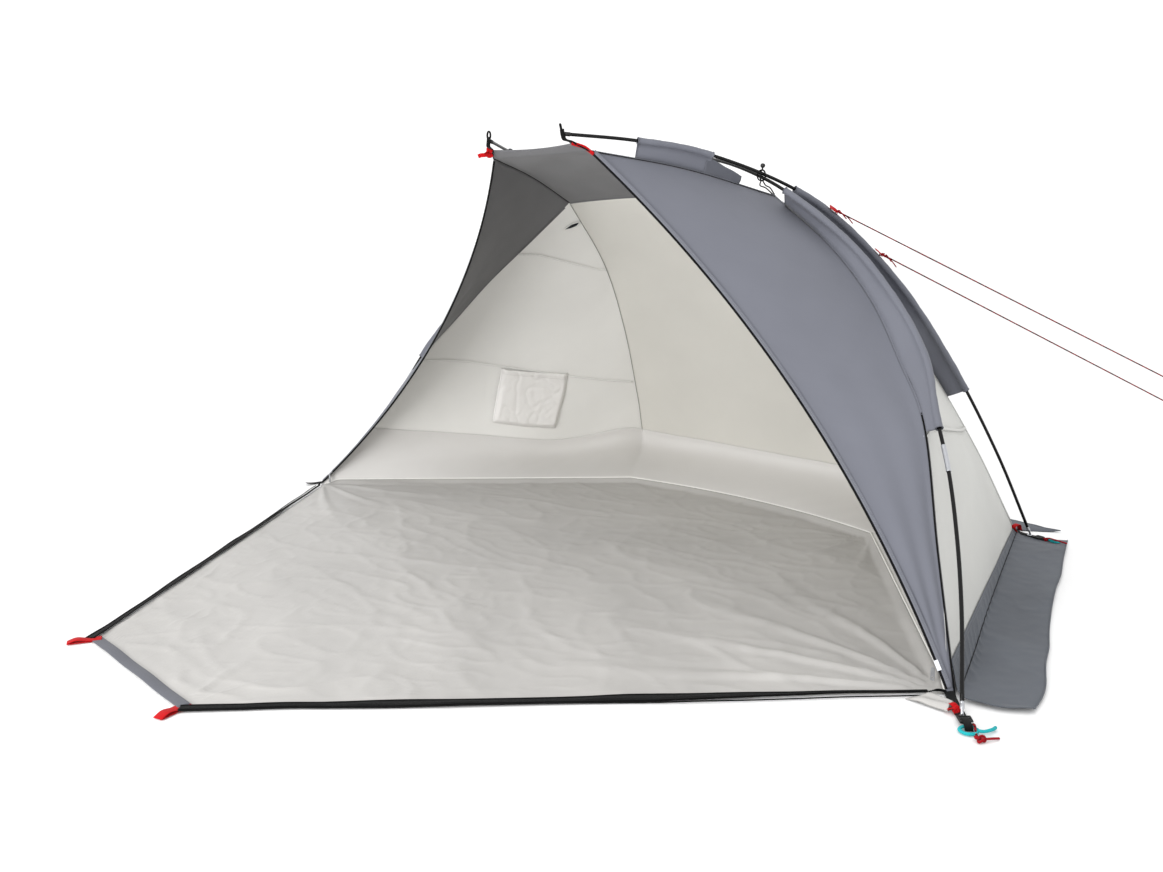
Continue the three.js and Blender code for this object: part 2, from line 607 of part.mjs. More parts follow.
// ---------------------------------------------------------------- ties, straps and ropes
const RING = { high: 14.5, wide: 12, thick: 1.8, band: 6, sides: 16 };
for (const [hand, side] of SIDES) {
  const pole = sidePole(side);
  const along = pole.getTangentAt(shareWhere(pole, "y", CROSSING_Y));
  const hoopAlong = hoopPole.getTangentAt(shareWhere(hoopPole, "x", side * crossing.x));
  const middle = along.clone().addScaledVector(hoopAlong, side).normalize();
  const up = new THREE.Vector3(0, 0, 1).addScaledVector(middle, -middle.z).normalize();
  const ellipse = (wide, high) => Array.from({ length: RING.sides }, (_, i) => {
    const angle = (2 * Math.PI * i) / RING.sides;
    return new THREE.Vector2(wide * Math.cos(angle), high * Math.sin(angle));
  });
  const band = new THREE.Shape(ellipse(RING.wide + RING.thick, RING.high + RING.thick));
  band.holes.push(new THREE.Path(ellipse(RING.wide, RING.high)));
  const loop = new THREE.ExtrudeGeometry(band, { depth: RING.band, bevelEnabled: false })
    .translate(0, 0, -RING.band / 2);
  const tail = new THREE.BoxGeometry(2, 30, RING.band).translate(0, -RING.high - 15.5, 0);
  const knob = new THREE.SphereGeometry(6, 10, 8).translate(0, RING.high + 6, 0);
  const tie = manifoldOf(loop).add(manifoldOf(tail)).add(manifoldOf(knob));
  const frame = new THREE.Matrix4().makeBasis(up.clone().cross(middle), up, middle);
  const g = geometryOf(tie).applyMatrix4(frame);
  const low = crossing.z - POLE_RADIUS - 0.5;
  add(`crossing_tie_${hand}`, g.translate(side * crossing.x, crossing.y, low), blackWebbing);
}

const STRAP = { width: 24, thick: 2, z: 3.5, eyelet: 5.5 };
function footStrap(name, peg, from, tail) {
  const start = new THREE.Vector2(...from);
  const hole = new THREE.Vector2(peg.x, peg.y);
  const out = hole.clone().sub(start).normalize();
  const across = new THREE.Vector2(-out.y, out.x).multiplyScalar(STRAP.width / 2);
  const tip = hole.clone().addScaledVector(out, tail);
  const outline = [start.clone().add(across), start.clone().sub(across), tip.clone().sub(across),
    tip.clone().add(across)].map((p) => [p.x, p.y]);
  add(name, plate(outline, STRAP.z, STRAP.thick, { at: [peg.x, peg.y], radius: STRAP.eyelet }), blackWebbing);
}
for (const [hand, side] of SIDES) {
  const corner = { left: [-1374, -16], right: [1366, -16] }[hand];
  footStrap(`foot_strap_front_${hand}`, pegs[`front_${hand}`], corner, 34);
  footStrap(`foot_strap_rear_${hand}`, pegs[`rear_${hand}`], [side * 838, 1352], 60);
}

for (const [hand, side] of SIDES) {
  const path = curveOf([[163, -52, 1268], [163, -54, 1229], [174, -44, 1212], [205, -12, 1199]], side);
  const band = new THREE.Shape([[-0.9, -6], [0.9, -6], [0.9, 6], [-0.9, 6]].map((p) => new THREE.Vector2(...p)));
  add(`tip_strap_${hand}`,
    new THREE.ExtrudeGeometry(band, { steps: 14, extrudePath: path, bevelEnabled: false }), blackWebbing);
}

const ROPE_LOOP = { long: 34, wide: 13 };
ROPES.forEach(({ fromY, to }, i) => {
  const pole = sidePole(1);
  const share = shareWhere(pole, "y", fromY);
  const end = V(to);
  const start = pole.getPointAt(share);
  const tangent = pole.getTangentAt(share);
  const away = end.clone().sub(start);
  away.addScaledVector(tangent, -away.dot(tangent)).normalize();
  start.addScaledVector(away, ROPE_START);
  add(`guy_rope_${i + 1}`, tube(line(start, end), ROPE_RADIUS, 0, 12, 8), rope);
  const along = end.clone().sub(start).normalize();
  const loop = new THREE.TorusGeometry(1, 0.1, 6, 20).scale(ROPE_LOOP.long, ROPE_LOOP.wide, 18);
  loop.applyQuaternion(new THREE.Quaternion().setFromUnitVectors(new THREE.Vector3(1, 0, 0), along));
  const centre = end.clone().addScaledVector(along, ROPE_LOOP.long * 1.1 + 0.5);
  add(`guy_loop_${i + 1}`, loop.translate(centre.x, centre.y, centre.z), rope);
});

// ---------------------------------------------------------------- pocket on the left wall
{
  const { width, height, depth, skin, across: u, down: v, clear } = POCKET;
  const at = walls.left(u, v);
  const along = walls.left(u + 0.05, v).sub(walls.left(u - 0.05, v));
  const inward = along.cross(walls.left(u, v - 0.05).sub(walls.left(u, v + 0.05))).normalize();
  if (inward.x < 0) inward.negate();
  const right = inward.clone().cross(new THREE.Vector3(0, 0, 1)).normalize();
  const up = right.clone().cross(inward);
  const bag = manifoldOf(new THREE.BoxGeometry(width, height, depth)).subtract(
    manifoldOf(new THREE.BoxGeometry(width - 2 * skin, height, depth - 2 * skin).translate(0, skin, 0)));
  const frame = new THREE.Matrix4().makeBasis(right, up, right.clone().cross(up));
  const g = geometryOf(bag).applyMatrix4(frame);
  const centre = at.clone().addScaledVector(inward, depth / 2 + clear);
  add("wall_pocket", g.translate(centre.x, centre.y, centre.z), beigeFabric);
}

export default root;
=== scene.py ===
"""A beach shelter's looks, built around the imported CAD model.

Metres; X along the opening, Y into the shelter, Z up.
"""
import math

import bpy
import numpy as np
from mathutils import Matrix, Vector, noise


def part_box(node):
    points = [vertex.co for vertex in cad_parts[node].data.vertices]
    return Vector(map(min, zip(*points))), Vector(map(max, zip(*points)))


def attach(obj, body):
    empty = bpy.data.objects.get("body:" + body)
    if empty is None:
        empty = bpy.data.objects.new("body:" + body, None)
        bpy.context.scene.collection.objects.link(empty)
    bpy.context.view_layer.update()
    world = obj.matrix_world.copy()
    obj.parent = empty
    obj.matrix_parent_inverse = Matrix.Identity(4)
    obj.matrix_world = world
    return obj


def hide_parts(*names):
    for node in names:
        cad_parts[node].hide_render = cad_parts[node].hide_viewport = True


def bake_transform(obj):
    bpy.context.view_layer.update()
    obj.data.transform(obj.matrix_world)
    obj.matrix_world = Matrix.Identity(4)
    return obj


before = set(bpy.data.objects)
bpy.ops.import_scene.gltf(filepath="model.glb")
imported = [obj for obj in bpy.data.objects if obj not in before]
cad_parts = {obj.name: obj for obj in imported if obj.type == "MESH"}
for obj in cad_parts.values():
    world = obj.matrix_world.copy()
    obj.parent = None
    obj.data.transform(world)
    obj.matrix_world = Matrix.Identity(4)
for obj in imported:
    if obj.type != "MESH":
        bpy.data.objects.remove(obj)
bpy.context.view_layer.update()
SIDES = {"left": -1, "right": 1}
SHELTER = "shelter"

# ---------------------------------------------------------------- design values, taken from the CAD model
FLOOR_HALF_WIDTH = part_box("groundsheet")[1].x
FLOOR_REAR_HALF = 0.55
FLOOR_REAR_Y = 0.93
FLOOR_REAR_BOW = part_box("groundsheet")[1].y - FLOOR_REAR_Y
DOOR_DEPTH = -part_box("door")[0].y
DOOR_OUTER_HALF = 0.265
DOOR_SHIFT = 0.045  # the door's outer edge was laid out this far to the right
POLE_RADIUS = 0.00475
ZIP_TOP = (0.209, 0, 1.195)
ZIP_BOTTOM = (1.345, 0, 0.008)
ZIP_BOW = 0.16
TAPE_WIDTH = 0.012
TAPE_TILT = math.radians(52)
SIDE_POLE_TIP = (0.164, -0.045, 1.239)
SIDE_POLE = [  # (y, z)
    (0.11, 1.224), (0.3, 1.193), (0.6, 1.068), (0.85, 0.842), (1.04, 0.58), (1.21, 0.285), (1.331, 0.034)]
SIDE_POLE_LINE = ((-0.074, 0.183), (1.331, 0.878))  # (y, x) at its two ends, seen from above
CROSSING_Y = 0.452
HOOP_TOP = [(0.69, 0.497, 0.968), (0.88, 0.462, 0.81), (1.01, 0.41, 0.67), (1.085, 0.345, 0.545)]
HOOP_FOOT = {
    "right": [(1.17, 0.27, 0.422), (1.254, 0.173, 0.293), (1.332, 0.066, 0.169), (1.416, -0.068, 0.031)],
    "left": [(1.2, 0.252, 0.322), (1.31, 0.126, 0.112), (1.357, 0.076, 0.034)],
}
HOOP_JOINT_X = 1.151
HOOP_APEX = (0, 0.548, 1.212)
CROSSING_SEAM = (0.444, 0.512, 1.08)
FRONT_SEAM = [ZIP_TOP, (0.329, 0.252, 1.152), CROSSING_SEAM]
HOOP_SEAM = [CROSSING_SEAM, (0.651, 0.498, 0.94), (0.826, 0.448, 0.796), (0.955, 0.386, 0.654),
             (1.057, 0.329, 0.536), (1.204, 0.179, 0.253), (1.356, 0.012, 0.004)]
REAR_SEAM = [CROSSING_SEAM, (0.557, 0.789, 0.857), (0.66, 0.997, 0.596), (0.764, 1.18, 0.292),
             (0.822, 1.29, 0.08), (0.818, 1.366, 0.004)]
ROOF_MIDDLE = (0, 0.48, 1.092)
COVING_TOP = {"side": 0.85, "corner": 0.73}  # share of the way down a wall; a little above the CAD's
FRONT_SLEEVE_Y, REAR_SLEEVE_Y = (0.118, 0.316), (0.545, 1.093)  # the sleeves' ends, on the side poles
HOOP_SLEEVE_X = (0.52, 1.107)
SIDE_JOINT_Y = (0.23, 0.85)
ROPES = [(0.655, (1.189, 1.565, 0.524)), (0.792, (1.183, 1.605, 0.443))]  # y on the side pole, far end
ROPE_START = 0.016
ROPE_RADIUS = 0.0018  # of the circle that the strands turn in
ROPE_FLECK = 0.022  # length of one red and one black fleck


# ---------------------------------------------------------------- curves and surfaces
def norm(v):
    return np.linalg.norm(v, axis=-1, keepdims=True)


def unit(v):
    return v / np.maximum(norm(v), 1e-12)


def smooth(x):
    x = np.clip(x, 0, 1)
    return x * x * (3 - 2 * x)


def mirrored(points, side):
    return np.array(points, float) * (side, 1, 1)


def run_along(points):
    """The length of a path up to each of its points."""
    return np.concatenate([[0], np.cumsum(norm(np.diff(points, axis=0))[:, 0])])


def at_shares(points, at):
    """The values between a path's points, at indices that need not be whole."""
    return np.stack([np.interp(at, np.arange(len(points)), points[:, k]) for k in range(3)], -1)


def catmull(points):
    """The centripetal curve through the points, as a function of a share from 0 to 1."""
    p = np.array(points, float)
    p = np.vstack([2 * p[0] - p[1], p, 2 * p[-1] - p[-2]])
    spans = len(points) - 1

    def at(share):
        s = np.clip(np.asarray(share, float), 0, 1) * spans
        i = np.minimum(s.astype(int), spans - 1)
        w = (s - i)[..., None]
        a, b, c, d = p[i], p[i + 1], p[i + 2], p[i + 3]
        ab, bc, cd = (np.sqrt(norm(y - x)) for x, y in ((a, b), (b, c), (c, d)))
        t1 = bc * ((b - a) / ab - (c - a) / (ab + bc) + (c - b) / bc)
        t2 = bc * ((c - b) / bc - (d - b) / (bc + cd) + (d - c) / cd)
        return b + w * (t1 + w * (3 * (c - b) - 2 * t1 - t2 + w * (2 * (b - c) + t1 + t2)))

    return at


def straight(a, b):
    a, b = np.array(a, float), np.array(b, float)
    return lambda share: a + np.asarray(share, float)[..., None] * (b - a)


def even(curve, count, start=0.0, end=1.0):
    """Points along a curve, evenly spaced between two shares of its length."""
    fine = curve(np.linspace(0, 1, 1500))
    run = run_along(fine)
    wanted = np.linspace(start, end, count) * run[-1]
    return np.stack([np.interp(wanted, run, fine[:, k]) for k in range(3)], -1)


def curve_length(curve):
    return norm(np.diff(even(curve, 400), axis=0)).sum()


FINE = 3000  # points along a curve, to look for a place on it


def point_where(curve, axis, value):
    """The point of the curve where one coordinate reaches a value."""
    points = even(curve, FINE)
    return points[np.abs(points[:, axis] - value).argmin()]


def share_where(curve, axis, value):
    """The share of the curve's length where one coordinate reaches a value."""
    return np.abs(even(curve, FINE)[:, axis] - value).argmin() / (FINE - 1)


def tangents(points):
    return unit(np.gradient(points, axis=0))


def patch(left, right, top, bottom):
    """The surface stretched between four edge curves that share their corners."""
    def at(u, v):
        u, v = np.broadcast_arrays(np.asarray(u, float), np.asarray(v, float))
        a, b = u[..., None], v[..., None]
        corner = [top(np.float64(0)), top(np.float64(1)), bottom(np.float64(0)), bottom(np.float64(1))]
        return ((1 - a) * left(v) + a * right(v) + (1 - b) * top(u) + b * bottom(u)
                - (1 - a) * (1 - b) * corner[0] - a * (1 - b) * corner[1]
                - (1 - a) * b * corner[2] - a * b * corner[3])

    return at


class ZipArc:
    """The arc of the opening's edge on one side."""

    def __init__(self, side):
        top, bottom = mirrored([ZIP_TOP, ZIP_BOTTOM], side)
        half = np.linalg.norm(bottom - top) / 2
        self.radius = half * half / (2 * ZIP_BOW) + ZIP_BOW / 2
        self.along = (bottom - top) / (2 * half)
        self.back = np.array([0, 1.0, 0])
        self.centre = (top + bottom) / 2 + self.back * (ZIP_BOW - self.radius)
        self.axis = np.cross(self.along, self.back) * side
        self.reach = math.asin(half / self.radius)

    def outward(self, angle):
        angle = np.asarray(angle, float)[..., None]
        return self.back * np.cos(angle) + self.along * np.sin(angle)

    def at(self, angle):
        return self.centre + self.outward(angle) * self.radius

    def edge(self, share):
        return self.at((2 * np.asarray(share, float) - 1) * self.reach)

    def tape(self, start, end, count):
        """The edge between two shares of its half length, with the tape's flat way and the way up from it."""
        angle = np.linspace(start, end, count) * self.reach
        out = self.outward(angle)
        across = out * math.cos(TAPE_TILT) + self.axis * math.sin(TAPE_TILT)
        return self.at(angle), across, self.axis * math.cos(TAPE_TILT) - out * math.sin(TAPE_TILT)


ARC = {hand: ZipArc(side) for hand, side in SIDES.items()}
FRONT, HOOPS, REAR = ({hand: catmull(mirrored(seam, side)) for hand, side in SIDES.items()}
                      for seam in (FRONT_SEAM, HOOP_SEAM, REAR_SEAM))


def side_pole_points(side):
    (y0, x0), (y1, x1) = SIDE_POLE_LINE
    line = [(x0 + (y - y0) / (y1 - y0) * (x1 - x0), y, z) for y, z in SIDE_POLE]
    return mirrored([SIDE_POLE_TIP, *line], side)


SIDE_POLES = {hand: catmull(side_pole_points(side)) for hand, side in SIDES.items()}
CROSSING = point_where(SIDE_POLES["right"], 1, CROSSING_Y)
half_hoop = {hand: [tuple(CROSSING - (0, 0, 2 * POLE_RADIUS + 0.001)), *HOOP_TOP, *HOOP_FOOT[hand]]
             for hand in SIDES}
HOOP_POLE = catmull([(-x, y, z) for x, y, z in reversed(half_hoop["left"])] + [HOOP_APEX]
                    + half_hoop["right"])


def roof_seam(share):
    share = np.asarray(share, float)
    x, y, z = CROSSING_SEAM
    rise = 4 * share * (1 - share)
    return np.stack([x * (2 * share - 1), y + (ROOF_MIDDLE[1] - y) * rise,
                     z + (ROOF_MIDDLE[2] - z) * rise], -1)


def fixed(point):
    return lambda share: np.broadcast_to(np.array(point, float), np.shape(share) + (3,))


ROOF = patch(FRONT["left"], FRONT["right"], straight(mirrored(ZIP_TOP, -1), ZIP_TOP), roof_seam)
REAR_WALL = patch(REAR["left"], REAR["right"], roof_seam,
                  straight(mirrored(REAR_SEAM[-1], -1), REAR_SEAM[-1]))
FRONT_PANEL, SIDE_WALL = {}, {}
for hand, side in SIDES.items():
    apex = mirrored(CROSSING_SEAM, side)
    foot = mirrored(HOOP_SEAM[-1], side)
    FRONT_PANEL[hand] = patch(ARC[hand].edge, HOOPS[hand], FRONT[hand], straight(ARC[hand].edge(1.0), foot))
    SIDE_WALL[hand] = patch(HOOPS[hand], REAR[hand], fixed(apex),
                            straight(foot, mirrored(REAR_SEAM[-1], side)))


# ---------------------------------------------------------------- materials
class Shader:
    """A node material with a principled shader, and short calls for the nodes that it uses."""

    def __init__(self, name, roughness, metallic=0.0, sheen=0.0, specular=0.5):
        self.material = bpy.data.materials.new(name)
        self.material.use_nodes = True
        self.nodes = self.material.node_tree.nodes
        self.links = self.material.node_tree.links
        self.shader = self.nodes["Principled BSDF"]
        for key, value in (("Roughness", roughness), ("Metallic", metallic), ("Sheen Weight", sheen),
                           ("Specular IOR Level", specular)):
            self.shader.inputs[key].default_value = value
        self.bump = None

    def node(self, kind, **inputs):
        made = self.nodes.new("ShaderNode" + kind)
        for key, value in inputs.items():
            key = key.replace("_", " ")
            if isinstance(value, bpy.types.NodeSocket):
                self.links.new(value, made.inputs[key])
            else:
                made.inputs[key].default_value = value
        return made

    def coordinates(self, kind):
        return self.node("TexCoord").outputs[kind]

    def noise(self, vector, scale, detail=3.0, ridged=False, stretch=None):
        if stretch:
            vector = self.node("Mapping", Vector=vector, Scale=stretch).outputs["Vector"]
        made = self.node("TexNoise", Vector=vector, Scale=scale, Detail=detail)
        if ridged:
            made.noise_type = "RIDGED_MULTIFRACTAL"
        return made.outputs["Fac"]

    def wave(self, vector, scale, direction):
        made = self.node("TexWave", Vector=vector, Scale=scale, Distortion=0.0)
        made.bands_direction = direction
        return made.outputs["Fac"]

    def math(self, operation, a, b):
        made = self.nodes.new("ShaderNodeMath")
        made.operation = operation
        for socket, value in zip(made.inputs, (a, b)):
            if isinstance(value, bpy.types.NodeSocket):
                self.links.new(value, socket)
            else:
                socket.default_value = value
        return made.outputs[0]

    def ramp(self, factor, *stops):
        made = self.node("ValToRGB", Fac=factor)
        elements = made.color_ramp.elements
        for element, (place, colour) in zip(elements, stops):
            element.position, element.color = place, (*colour, 1)
        for place, colour in stops[2:]:
            elements.new(place).color = (*colour, 1)
        return made.outputs["Color"]

    def colour(self, source):
        socket = self.shader.inputs["Base Color"]
        if isinstance(source, bpy.types.NodeSocket):
            self.links.new(source, socket)
        else:
            socket.default_value = (*source, 1)

    def rough(self, factor, low, high):
        spread = self.node("MapRange", Value=factor, To_Min=low, To_Max=high).outputs["Result"]
        self.links.new(spread, self.shader.inputs["Roughness"])

    def weave(self, uv, thread, height, strength):
        """Threads that cross, in relief."""
        warp, weft = (self.wave(uv, WAVE_PERIOD / thread, way) for way in "XY")
        self.relief(self.math("MAXIMUM", warp, weft), height, strength)

    def relief(self, height, distance, strength):
        made = self.node("Bump", Height=height, Distance=distance, Strength=strength)
        if self.bump:
            self.links.new(self.bump, made.inputs["Normal"])
        self.bump = made.outputs["Normal"]
        self.links.new(self.bump, self.shader.inputs["Normal"])


def linear(*rgb):
    """A colour given in the usual 0 to 255, as the shader's linear values."""
    return tuple(((c / 255 + 0.055) / 1.055) ** 2.4 for c in rgb)


def scaled(colour, factor):
    return tuple(c * factor for c in colour)


WAVE_PERIOD = 2 * math.pi / 20  # of a wave texture at scale 1


CLOTH_THREAD = 0.0007
CLOTH_ROUGHNESS = 0.78


def cloth(name, rgb, crease, crease_scale=5.0, mottle=0.05):
    """Woven polyester: threads both ways, a faint mottle and soft creases."""
    s = Shader(name, CLOTH_ROUGHNESS, sheen=0.1)
    uv = s.coordinates("UV")
    base = linear(*rgb)
    blotch = s.noise(uv, 3.0, 5.0)
    s.colour(s.ramp(blotch, (0.3, scaled(base, 1 - mottle)), (0.7, scaled(base, 1 + mottle))))
    s.rough(s.noise(uv, 9.0), CLOTH_ROUGHNESS - 0.08, CLOTH_ROUGHNESS + 0.06)
    s.weave(uv, CLOTH_THREAD, 0.00008, 0.6)
    s.relief(s.noise(uv, crease_scale, 4.0, ridged=True), crease, 0.5)
    return s.material


def painted_shade_cloth(name, rgb, reach, foot):
    """Wall cloth with painted shade that darkens it towards its foot, over a reach in metres along V."""
    s = Shader(name, CLOTH_ROUGHNESS, sheen=0.1)
    uv = s.coordinates("UV")
    down = s.node("SeparateXYZ", Vector=uv).outputs["Y"]
    base = linear(*rgb)
    s.colour(s.ramp(s.math("DIVIDE", down, reach), (0.0, base), (1.0, scaled(base, foot))))
    s.weave(uv, CLOTH_THREAD, 0.00008, 0.6)
    s.relief(s.noise(uv, 5.0, 4.0, ridged=True), 0.0014, 0.5)
    return s.material


def ground_cloth(name, rgb):
    """Coated polyethylene sheet: sharper creases that catch the light."""
    s = Shader(name, 0.5, sheen=0.05)
    uv = s.coordinates("UV")
    base = linear(*rgb)
    s.colour(s.ramp(s.noise(uv, 2.2, 6.0), (0.32, scaled(base, 0.93)), (0.7, scaled(base, 1.06))))
    s.rough(s.noise(uv, 14.0, 4.0), 0.42, 0.62)
    s.weave(uv, 0.0012, 0.0001, 0.5)
    s.relief(s.noise(uv, 3.5, 6.0, ridged=True), 0.005, 0.4)
    s.relief(s.noise(uv, 15.0, 4.0, ridged=True, stretch=(1.0, 0.45, 1.0)), 0.0016, 0.45)
    return s.material


def webbing(name, rgb, rib=0.0016):
    """Narrow woven tape, ribbed across its run."""
    s = Shader(name, 0.85, sheen=0.05, specular=0.12)
    uv = s.coordinates("UV")
    base = linear(*rgb)
    ribs = s.wave(uv, WAVE_PERIOD / rib, "X")
    cross = s.wave(uv, WAVE_PERIOD / (2 * rib), "Y")
    # The colour is darker in the hollows between ribs and lighter on their tops, following the relief:
    # painted shade and light.
    s.colour(s.ramp(s.math("MULTIPLY", ribs, cross), (0.0, scaled(base, 0.7)), (1.0, scaled(base, 1.25))))
    s.relief(s.math("ADD", ribs, cross), 0.0003, 0.7)
    return s.material


def plain(name, rgb, roughness, metallic=0.0, grain=60.0, depth=0.0002, spread=0.1, specular=0.5):
    """Moulded, drawn or plated stock with a fine uneven surface."""
    s = Shader(name, roughness, metallic, specular=specular)
    where = s.coordinates("Object")
    base = linear(*rgb)
    spots = s.noise(where, grain, 4.0)
    # The colour follows the spots that also make the relief and is darker in its dips: a random tone with
    # painted shade.
    s.colour(s.ramp(spots, (0.3, scaled(base, 1 - spread)), (0.7, scaled(base, 1 + spread))))
    s.rough(s.noise(where, grain * 2), max(roughness - 0.08, 0.05), roughness + 0.1)
    s.relief(spots, depth, 0.3)
    return s.material


GREY = cloth("grey_canopy", (99, 101, 110), crease=0.0016)
GREY_INNER = cloth("grey_canopy_inside", (98, 98, 100), crease=0.0014)
BEIGE = cloth("beige_wall", (190, 190, 186), crease=0.0014, mottle=0.03)
# Inner faces of the beige walls: copies of one cloth painted lighter than its outer face, the side walls'
# most and the rear wall's less; painted light and shade.
SIDE_INNER_PAINTED_LIGHT = cloth("beige_side_wall_inside_painted_light", (231, 230, 226), crease=0.0014, mottle=0.03)
REAR_INNER_PAINTED_SHADE = cloth("beige_rear_wall_inside_painted_shade", (212, 210, 203), crease=0.0014, mottle=0.03)
# A dark strip along the rear seams' inner edge: a painted shadow.
SEAM_SHADOW = cloth("beige_seam_shadow", (150, 148, 142), crease=0.0008, crease_scale=20)
# The coving's inner face: a darker copy of the wall cloth, with painted shade that deepens towards the floor.
COVING_CLOTH = painted_shade_cloth("coving_cloth_painted_shade", (212, 210, 207), 0.4, 0.88)
POCKET_CLOTH = cloth("pocket_cloth", (232, 230, 227), crease=0.0016, crease_scale=12.0, mottle=0.02)
FLAP = cloth("sand_flap", (72, 77, 85), crease=0.0022, crease_scale=7.0, mottle=0.16)
GROUND = ground_cloth("groundsheet_cloth", (173, 171, 168))
# A dark grey for real hems and bindings. It is also painted shade on the front gussets and, in part, a
# painted shadow along the door's hem.
HEM_AND_SHADE = cloth("grey_hem_and_painted_shade", (80, 82, 90), crease=0.001, crease_scale=20)
PIPING = webbing("black_tape", (6, 6, 7), rib=0.0011)
BLACK_WEBBING = webbing("black_webbing", (7, 7, 8))
RED_WEBBING = webbing("red_webbing", (188, 14, 20))
FIBREGLASS = plain("black_fibreglass", (3, 3, 4), 0.22, grain=140, depth=0.0001, specular=0.25)
STEEL = plain("zinc_plate", (180, 182, 186), 0.3, metallic=0.95, grain=260, depth=0.00005, spread=0.05)
RUBBER = plain("black_moulded", (6, 6, 7), 0.45, grain=220)
MESH_DARK = webbing("vent_mesh", (40, 42, 46), rib=0.0018)
TURQUOISE = webbing("turquoise_cord", (40, 186, 192), rib=0.0012)
RED_CORD = webbing("red_cord", (160, 8, 22), rib=0.0012)
BLACK_CORD = webbing("black_cord", (8, 7, 8), rib=0.0012)
ELASTIC = webbing("white_elastic", (226, 222, 214), rib=0.0012)
THREAD = plain("grey_thread", (150, 150, 150), 0.9)


# ---------------------------------------------------------------- mesh pieces
def piece(name, vertices, faces, materials, slot, body=SHELTER, replaces=(), uv=None, picks=None, flat=False):
    """A mesh object that rides on a body. uv has a pair for each vertex; picks, a material for each face."""
    mesh = bpy.data.meshes.new(name)
    mesh.from_pydata([tuple(map(float, v)) for v in vertices], [], [tuple(map(int, f)) for f in faces])
    for material in materials if isinstance(materials, (list, tuple)) else [materials]:
        mesh.materials.append(material)
    if uv is not None:
        layer = mesh.uv_layers.new(name="UVMap")
        corners = np.zeros(len(mesh.loops), int)
        mesh.loops.foreach_get("vertex_index", corners)
        layer.data.foreach_set("uv", np.asarray(uv, np.float32)[corners].ravel())
    if picks is not None:
        mesh.polygons.foreach_set("material_index", np.asarray(picks, int))
    mesh.polygons.foreach_set("use_smooth", [not flat] * len(mesh.polygons))
    mesh.update()
    made = bpy.data.objects.new(name, mesh)
    bpy.context.scene.collection.objects.link(made)
    if body:
        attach(made, body)
    if replaces:
        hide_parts(*replaces)
    return made


def grid_faces(columns, rows, offset=0, turned=False):
    i, j = np.meshgrid(np.arange(columns), np.arange(rows), indexing="ij")
    a = offset + (i * (rows + 1) + j).ravel()
    b = a + rows + 1
    quads = np.stack([a, b, b + 1, a + 1], -1)
    return quads[:, ::-1] if turned else quads


def grid_normals(points):
    return unit(np.cross(np.gradient(points, axis=0), np.gradient(points, axis=1)))


def grid_uv(points):
    """Lengths in metres along the two ways of a grid."""
    def run(axis):
        steps = norm(np.diff(points, axis=axis))[..., 0]
        return np.concatenate([np.zeros_like(np.take(steps, [0], axis)), np.cumsum(steps, axis)], axis)

    return np.stack([run(0), run(1)], -1).reshape(-1, 2)


def pairs(run, girth):
    return np.stack(np.broadcast_arrays(run[:, None], girth[None]), -1).reshape(-1, 2)


ROOM_MIDDLE = np.array([0, 0.45, 0.35])


CLOTH_THICK, FLAP_THICK, COATED_THICK = 0.0009, 0.001, 0.0012
TAPE_THICK = 0.0012


def layered(name, points, materials, slot, thickness=CLOTH_THICK, outward=None, **kw):
    """A closed sheet of cloth over a grid of points. A second material is for its inside."""
    columns, rows = points.shape[0] - 1, points.shape[1] - 1
    normals = grid_normals(points)
    way = outward if outward is not None else points - ROOM_MIDDLE
    turned = (normals * way).sum() < 0
    if turned:
        normals = -normals
    count = points.shape[0] * points.shape[1]
    layers = [(points + normals * s * thickness / 2).reshape(-1, 3) for s in (1, -1)]
    faces = [grid_faces(columns, rows, 0, turned), grid_faces(columns, rows, count, not turned)]
    i, j = np.arange(columns), np.arange(rows)
    bottom, top = i * (rows + 1), i * (rows + 1) + rows
    left, right = j, columns * (rows + 1) + j
    rims = [(bottom, bottom + rows + 1, False), (top, top + rows + 1, True),
            (left, left + 1, True), (right, right + 1, False)]
    for a, b, swap in rims:
        if swap ^ turned:
            a, b = b, a
        faces.append(np.stack([b, a, a + count, b + count], -1))
    picks = np.concatenate([np.full(len(f), 1 if k == 1 else 0) for k, f in enumerate(faces)])
    uv = grid_uv(points)
    return piece(name, np.vstack(layers), np.vstack(faces), materials, slot, uv=np.vstack([uv, uv]),
                 picks=picks if len(materials) > 1 else None, **kw)


def ring_faces(rings, sides, closed=False):
    """Quads between rings of the same number of points."""
    i, j = np.meshgrid(np.arange(rings if closed else rings - 1), np.arange(sides), indexing="ij")
    i, j = i.ravel(), j.ravel()
    following, turn = (i + 1) % rings * sides, (j + 1) % sides
    this = i * sides
    return [tuple(f) for f in np.stack([this + j, this + turn, following + turn, following + j], -1)]


def circle(across, up, sides):
    """Directions round a way, given two across it."""
    angle = np.arange(sides)[:, None] * 2 * math.pi / sides
    return across * np.cos(angle) + up * np.sin(angle)


def turned_rings(origin, way, profile, hint, sides):
    """Rings of a turned piece: profile holds (distance along way, radius) pairs."""
    way = unit(np.array(way, float))
    across = unit(np.cross(way, hint))
    around = circle(across, np.cross(way, across), sides)
    return np.array([origin + way * d + around * r for d, r in profile]).reshape(-1, 3)


def repeated(faces, corners, count):
    return [tuple(np.array(face) + corners * n) for n in range(count) for face in faces]


